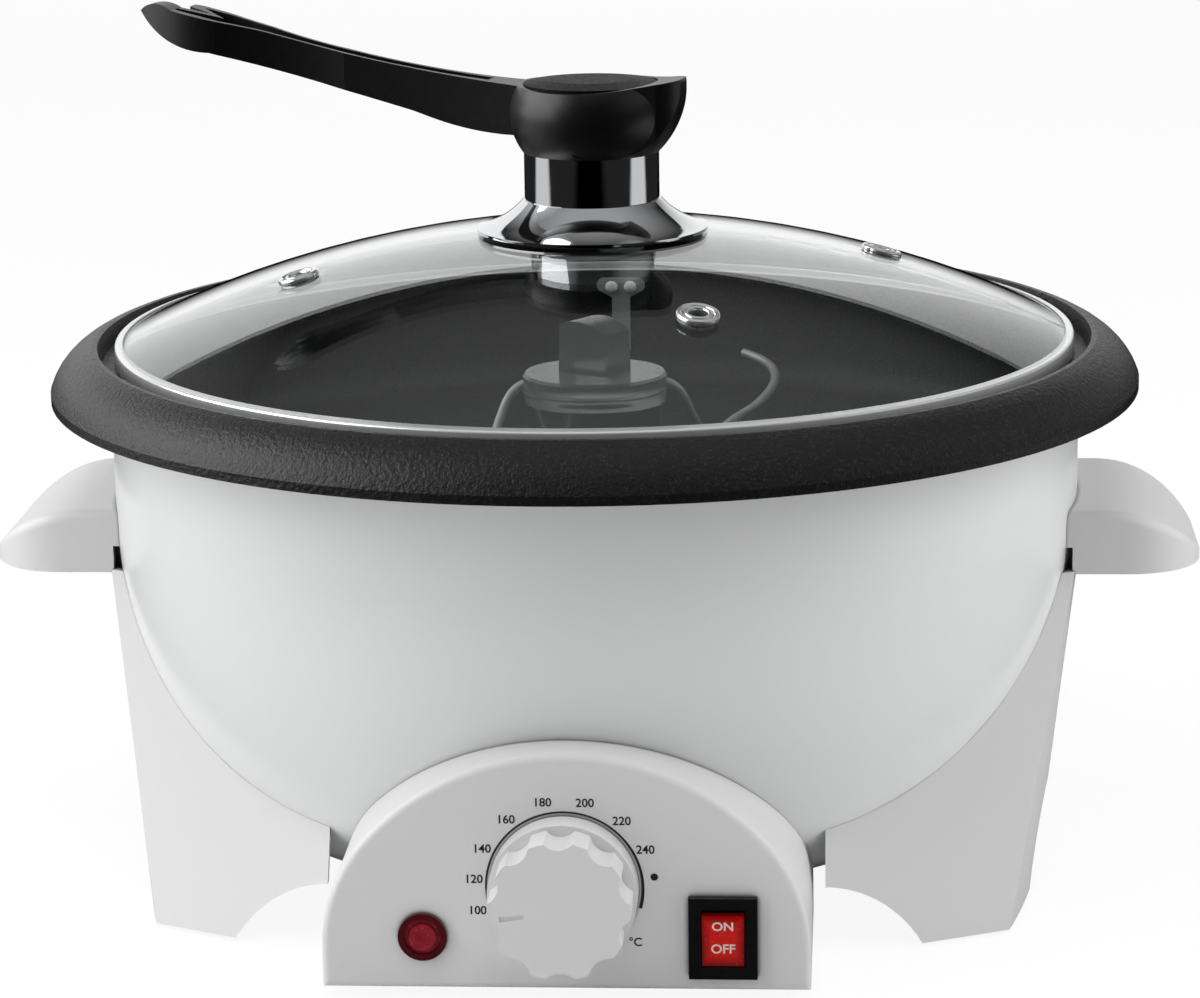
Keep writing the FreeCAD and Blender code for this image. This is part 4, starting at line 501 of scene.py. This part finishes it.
frame_black, tree, shader = finish("black_nylon", "121214", 0.36)
grain(tree, shader, 0.5, 0.008, 2.0, ("0E0E10", "18181A"), (0.3, 0.44))
dress(frame_black, "switch_frame")
bezel_red, tree, shader = finish("smoked_red_bezel", "4A1018", 0.14, IOR=1.58)
grain(tree, shader, 1.5, 0.003, 1.0, ("3E0C12", "58141C"), (0.1, 0.2))
dress(bezel_red, "lamp_bezel")
neon_red, tree, shader = finish("dark_red_lens", "881424", 0.2, IOR=1.58)
grain(tree, shader, 1.8, 0.02, 1.0, ("7C0E1C", "9C2030"), (0.14, 0.28))
dress(neon_red, "lamp_lens")
lit_red, tree, shader = finish("lit_red_polycarbonate", "D42015", 0.22, IOR=1.58)
grain(tree, shader, 1.6, 0.002, 1.0, None, (0.18, 0.28))
# The neon behind it lights the middle, and the rim stays deep red.
low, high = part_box("rocker")
middle, half = (low + high) / 2, (high - low) / 2
spot = add(tree, "ShaderNodeMapping", {
    "Vector": add(tree, "ShaderNodeTexCoord").outputs["Object"],
    "Location": (-middle.x / half.x, 0.0, -middle.z / half.z),
    "Scale": (1 / half.x, 0.0, 1 / half.z)})
parts = add(tree, "ShaderNodeSeparateXYZ", {0: spot.outputs[0]})
sideways = add(tree, "ShaderNodeMath", {0: parts.outputs[0]}, operation="ABSOLUTE")
endways = add(tree, "ShaderNodeMath", {0: parts.outputs[2]}, operation="ABSOLUTE")
edge = add(tree, "ShaderNodeMath", {0: sideways.outputs[0], 1: endways.outputs[0]},
           operation="MAXIMUM")
rim = add(tree, "ShaderNodeMapRange", {0: edge.outputs[0], 1: 0.55, 2: 1.0, 3: 0.0, 4: 1.0})
glow = add(tree, "ShaderNodeMix", {0: rim.outputs[0], 6: linear("C8160E"),
                                   7: linear("7E0A08")}, data_type="RGBA")
tree.links.new(glow.outputs[2], shader.inputs["Base Color"])
tree.links.new(glow.outputs[2], shader.inputs["Emission Color"])
shader.inputs["Emission Strength"].default_value = 0.12
shader.inputs["Specular IOR Level"].default_value = 0.3
dress(lit_red, "rocker")
pale_ink, tree, shader = finish("pale_printing_ink", "E9D9D2", 0.4)
grain(tree, shader, 0.4, 0.003, 2.0, ("E2D0C8", "F0E4DE"), (0.35, 0.45))

# The two words are printed on the rocker's curved face: each point is carried back to it.
rocker_mesh = bpy.data.objects["rocker"].data
rocker_skin = BVHTree.FromPolygons([v.co.copy() for v in rocker_mesh.vertices],
                                   [tuple(p.vertices) for p in rocker_mesh.polygons])
rocker_x = (low.x + high.x) / 2
word_height, word_film, on_below_top, off_above_foot = 0.0027, 0.00005, 0.0030, 0.0050
word_places = {"ON": high.z - on_below_top, "OFF": low.z + off_above_foot}
for words, word_z in word_places.items():
    def on_rocker(u, v):
        """The point of the rocker's face straight behind (u, v), lifted off it by the ink."""
        hit = rocker_skin.ray_cast(Vector((rocker_x + u, low.y - 0.01, word_z + v)),
                                   Vector((0, 1, 0)))[0]
        return (rocker_x + u, hit.y - word_film, word_z + v)
    word = lettering("rocker_" + words.lower(), words, word_height, on_rocker)
    word.data.materials.append(pale_ink)
    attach(word, "rocker")

# ---- Stirrer ------------------------------------------------------------------------------
# A frosted heat-proof plastic hub with a finger grip, pressed on two bent spring wires. Fully
# metallic wires would mirror the black pan, so they are set a little less metallic.

frosted, tree, shader = finish("frosted_polysulfone", "9FA1A0", 0.2, IOR=1.45)
shader.inputs["Transmission Weight"].default_value = 0.85
grain(tree, shader, 2.4, 0.003, 0.0, None, (0.18, 0.24))
dress(frosted, "stirrer_hub")
wire_steel, tree, shader = finish("drawn_spring_wire", "C6C7C8", 0.26, Metallic=0.75)
grain(tree, shader, 3.0, 0.001, 0.0, ("C0C1C2", "CCCDCE"), (0.36, 0.42))
dress(wire_steel, "stirrer_wires")

# ---- Lid glass ----------------------------------------------------------------------------
# Four-millimetre tempered glass, clear with the faintest grey-green. Its shadow is let through,
# as a thin clear sheet's is.

glass, tree, shader = finish("clear_tempered_glass", "F3F6F5", 0.0, IOR=1.5)
shader.inputs["Transmission Weight"].default_value = 1.0
path = add(tree, "ShaderNodeLightPath")
through = add(tree, "ShaderNodeBsdfTransparent", {"Color": linear("F0F3F2")})
mixed = add(tree, "ShaderNodeMixShader", {0: path.outputs["Is Shadow Ray"],
                                          1: shader.outputs[0], 2: through.outputs[0]})
tree.links.new(mixed.outputs[0],
               [n for n in tree.nodes if n.type == "OUTPUT_MATERIAL"][0].inputs["Surface"])
dress(glass, "lid_glass")

# ---- Lid band -----------------------------------------------------------------------------
# A rolled channel of thin stainless steel: a rounded outer wall, a flange under the glass and a
# narrow lip that lies on the dome. It is set partly metallic, so that the dark front of the room
# doesn't blacken it.

band_steel, tree, shader = finish("rolled_stainless_band", "E9EAEB", 0.22, Metallic=0.6)
grain(tree, shader, 2.5, 0.0008, 1.0, None, (0.18, 0.26))
low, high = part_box("lid_rim_band")
band_radius, band_bottom = high.x, low.z
# The outer wall's top is the highest point of the CAD band that lies on its largest radius.
shell = np.array([tuple(v.co) for v in bpy.data.objects["lid_rim_band"].data.vertices])
band_top = shell[np.hypot(shell[:, 0], shell[:, 1]) > band_radius - 0.0001][:, 2].max()
lip_width, dome_slope, corner = 0.0024, 0.475, 0.0008
flange_width, flange_sheet, foot_round = 0.0042, 0.0006, 0.0004
wall_depth, wall_drop = 0.0011, 0.0010
bend = np.linspace(0, np.pi / 2 + np.arctan(dome_slope), 9)
crown = np.column_stack([band_radius - corner + corner * np.cos(bend),
                         band_top - corner + corner * np.sin(bend)])
band_section = np.vstack([
    [(band_radius - flange_width, band_bottom), (band_radius - foot_round, band_bottom),
     (band_radius, band_bottom + foot_round)], crown,
    [(band_radius - lip_width, crown[-1, 1] + (crown[-1, 0] - band_radius + lip_width)
      * dome_slope),
     (band_radius - lip_width, crown[-1, 1]),
     (band_radius - wall_depth, band_top - wall_drop),
     (band_radius - wall_depth, band_bottom + flange_sheet),
     (band_radius - flange_width, band_bottom + flange_sheet),
     (band_radius - flange_width, band_bottom)]])
upright = [(np.zeros(3), np.array((1.0, 0.0, 0.0)), np.array((0.0, 1.0, 0.0)),
            np.array((0.0, 0.0, 1.0)))]
for band in turned("lid_rolled_band", band_section, upright, 240):
    band.data.materials.append(band_steel)
    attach(band, "lid")
    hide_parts("lid_rim_band")

# ---- Lid vents ----------------------------------------------------------------------------
# Four eyelets of chromed brass: a rolled lip that lies on the glass and a raised neck round the
# hole. Their axes follow the dome.

eyelet_chrome, tree, shader = finish("chromed_eyelet", "E4E5E6", 0.1, Metallic=0.85)
grain(tree, shader, 3.0, 0.003, 1.0, None, (0.07, 0.14))
dome_radius, vent_circle = 0.326, 0.087
vent_turns = np.radians((-166.0, -67.0, 13.0, 104.0))
dome_lean = np.arcsin(vent_circle / dome_radius)
dome_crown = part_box("lid_glass")[1].z
# The lip and the neck are part ellipses, each with its centre and its two half widths.
lip_centre, lip_half = (0.0053, 0.0003), (0.0009, 0.0011)
neck_centre, neck_half = (0.0034, 0.0004), (0.0007, 0.0010)
bore, shank, shank_foot, shank_top = 0.0027, 0.0050, -0.0046, -0.0007
lip_turn = np.linspace(-0.35 * np.pi, np.pi, 16)
lip = np.column_stack([lip_centre[0] + lip_half[0] * np.cos(lip_turn),
                       lip_centre[1] + lip_half[1] * np.sin(lip_turn)])
neck_turn = np.linspace(0, np.pi, 12)
neck = np.column_stack([neck_centre[0] + neck_half[0] * np.cos(neck_turn),
                        neck_centre[1] + neck_half[1] * np.sin(neck_turn)])
eyelet_profile = np.vstack([lip, neck, [(bore, shank_foot)], [(shank, shank_foot)],
                            [(shank, shank_top)], lip[:1]])
eyelet_frames = []
for vent_turn in vent_turns:
    out = np.array((np.cos(vent_turn), np.sin(vent_turn), 0.0))
    side = np.array((-np.sin(vent_turn), np.cos(vent_turn), 0.0))
    rise = np.array((0.0, 0.0, np.cos(dome_lean))) + out * np.sin(dome_lean)
    along = np.cross(side, rise)
    foot = np.array((0.0, 0.0, dome_crown - dome_radius)) + rise * dome_radius
    eyelet_frames.append((foot, along, side, rise))
for eyelet in turned("lid_vent_eyelet", eyelet_profile, eyelet_frames):
    eyelet.data.materials.append(eyelet_chrome)
    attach(eyelet, "lid")
    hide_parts("lid_vent_grommets")

# ---- Lid flange and collar ----------------------------------------------------------------
# Pressed brass, chromed and polished to a mirror: it shows the room's dark front and its pale
# walls as sharp stripes.

chrome, tree, shader = finish("polished_chrome", "D8D9DB", 0.05, Metallic=1.0)
grain(tree, shader, 6.0, 0.003, 1.0, None, (0.03, 0.08))
dress(chrome, "lid_flange", "lid_collar")

# ---- Lid handle ---------------------------------------------------------------------------
# Black phenolic moulding with a matt grain, and a duller black cap set in its top.

bakelite, tree, shader = finish("black_phenolic", "080809", 0.34, IOR=1.55)
grain(tree, shader, 0.45, 0.01, 2.0, ("060607", "0C0C0D"), (0.28, 0.42))
dress(bakelite, "lid_handle")
dull_black, tree, shader = finish("dull_black_cap", "0A0A0B", 0.5, IOR=1.45)
shader.inputs["Specular IOR Level"].default_value = 0.12
grain(tree, shader, 1.2, 0.01, 2.0, ("070708", "0F0F10"), (0.44, 0.58))
dress(dull_black, "handle_cap")
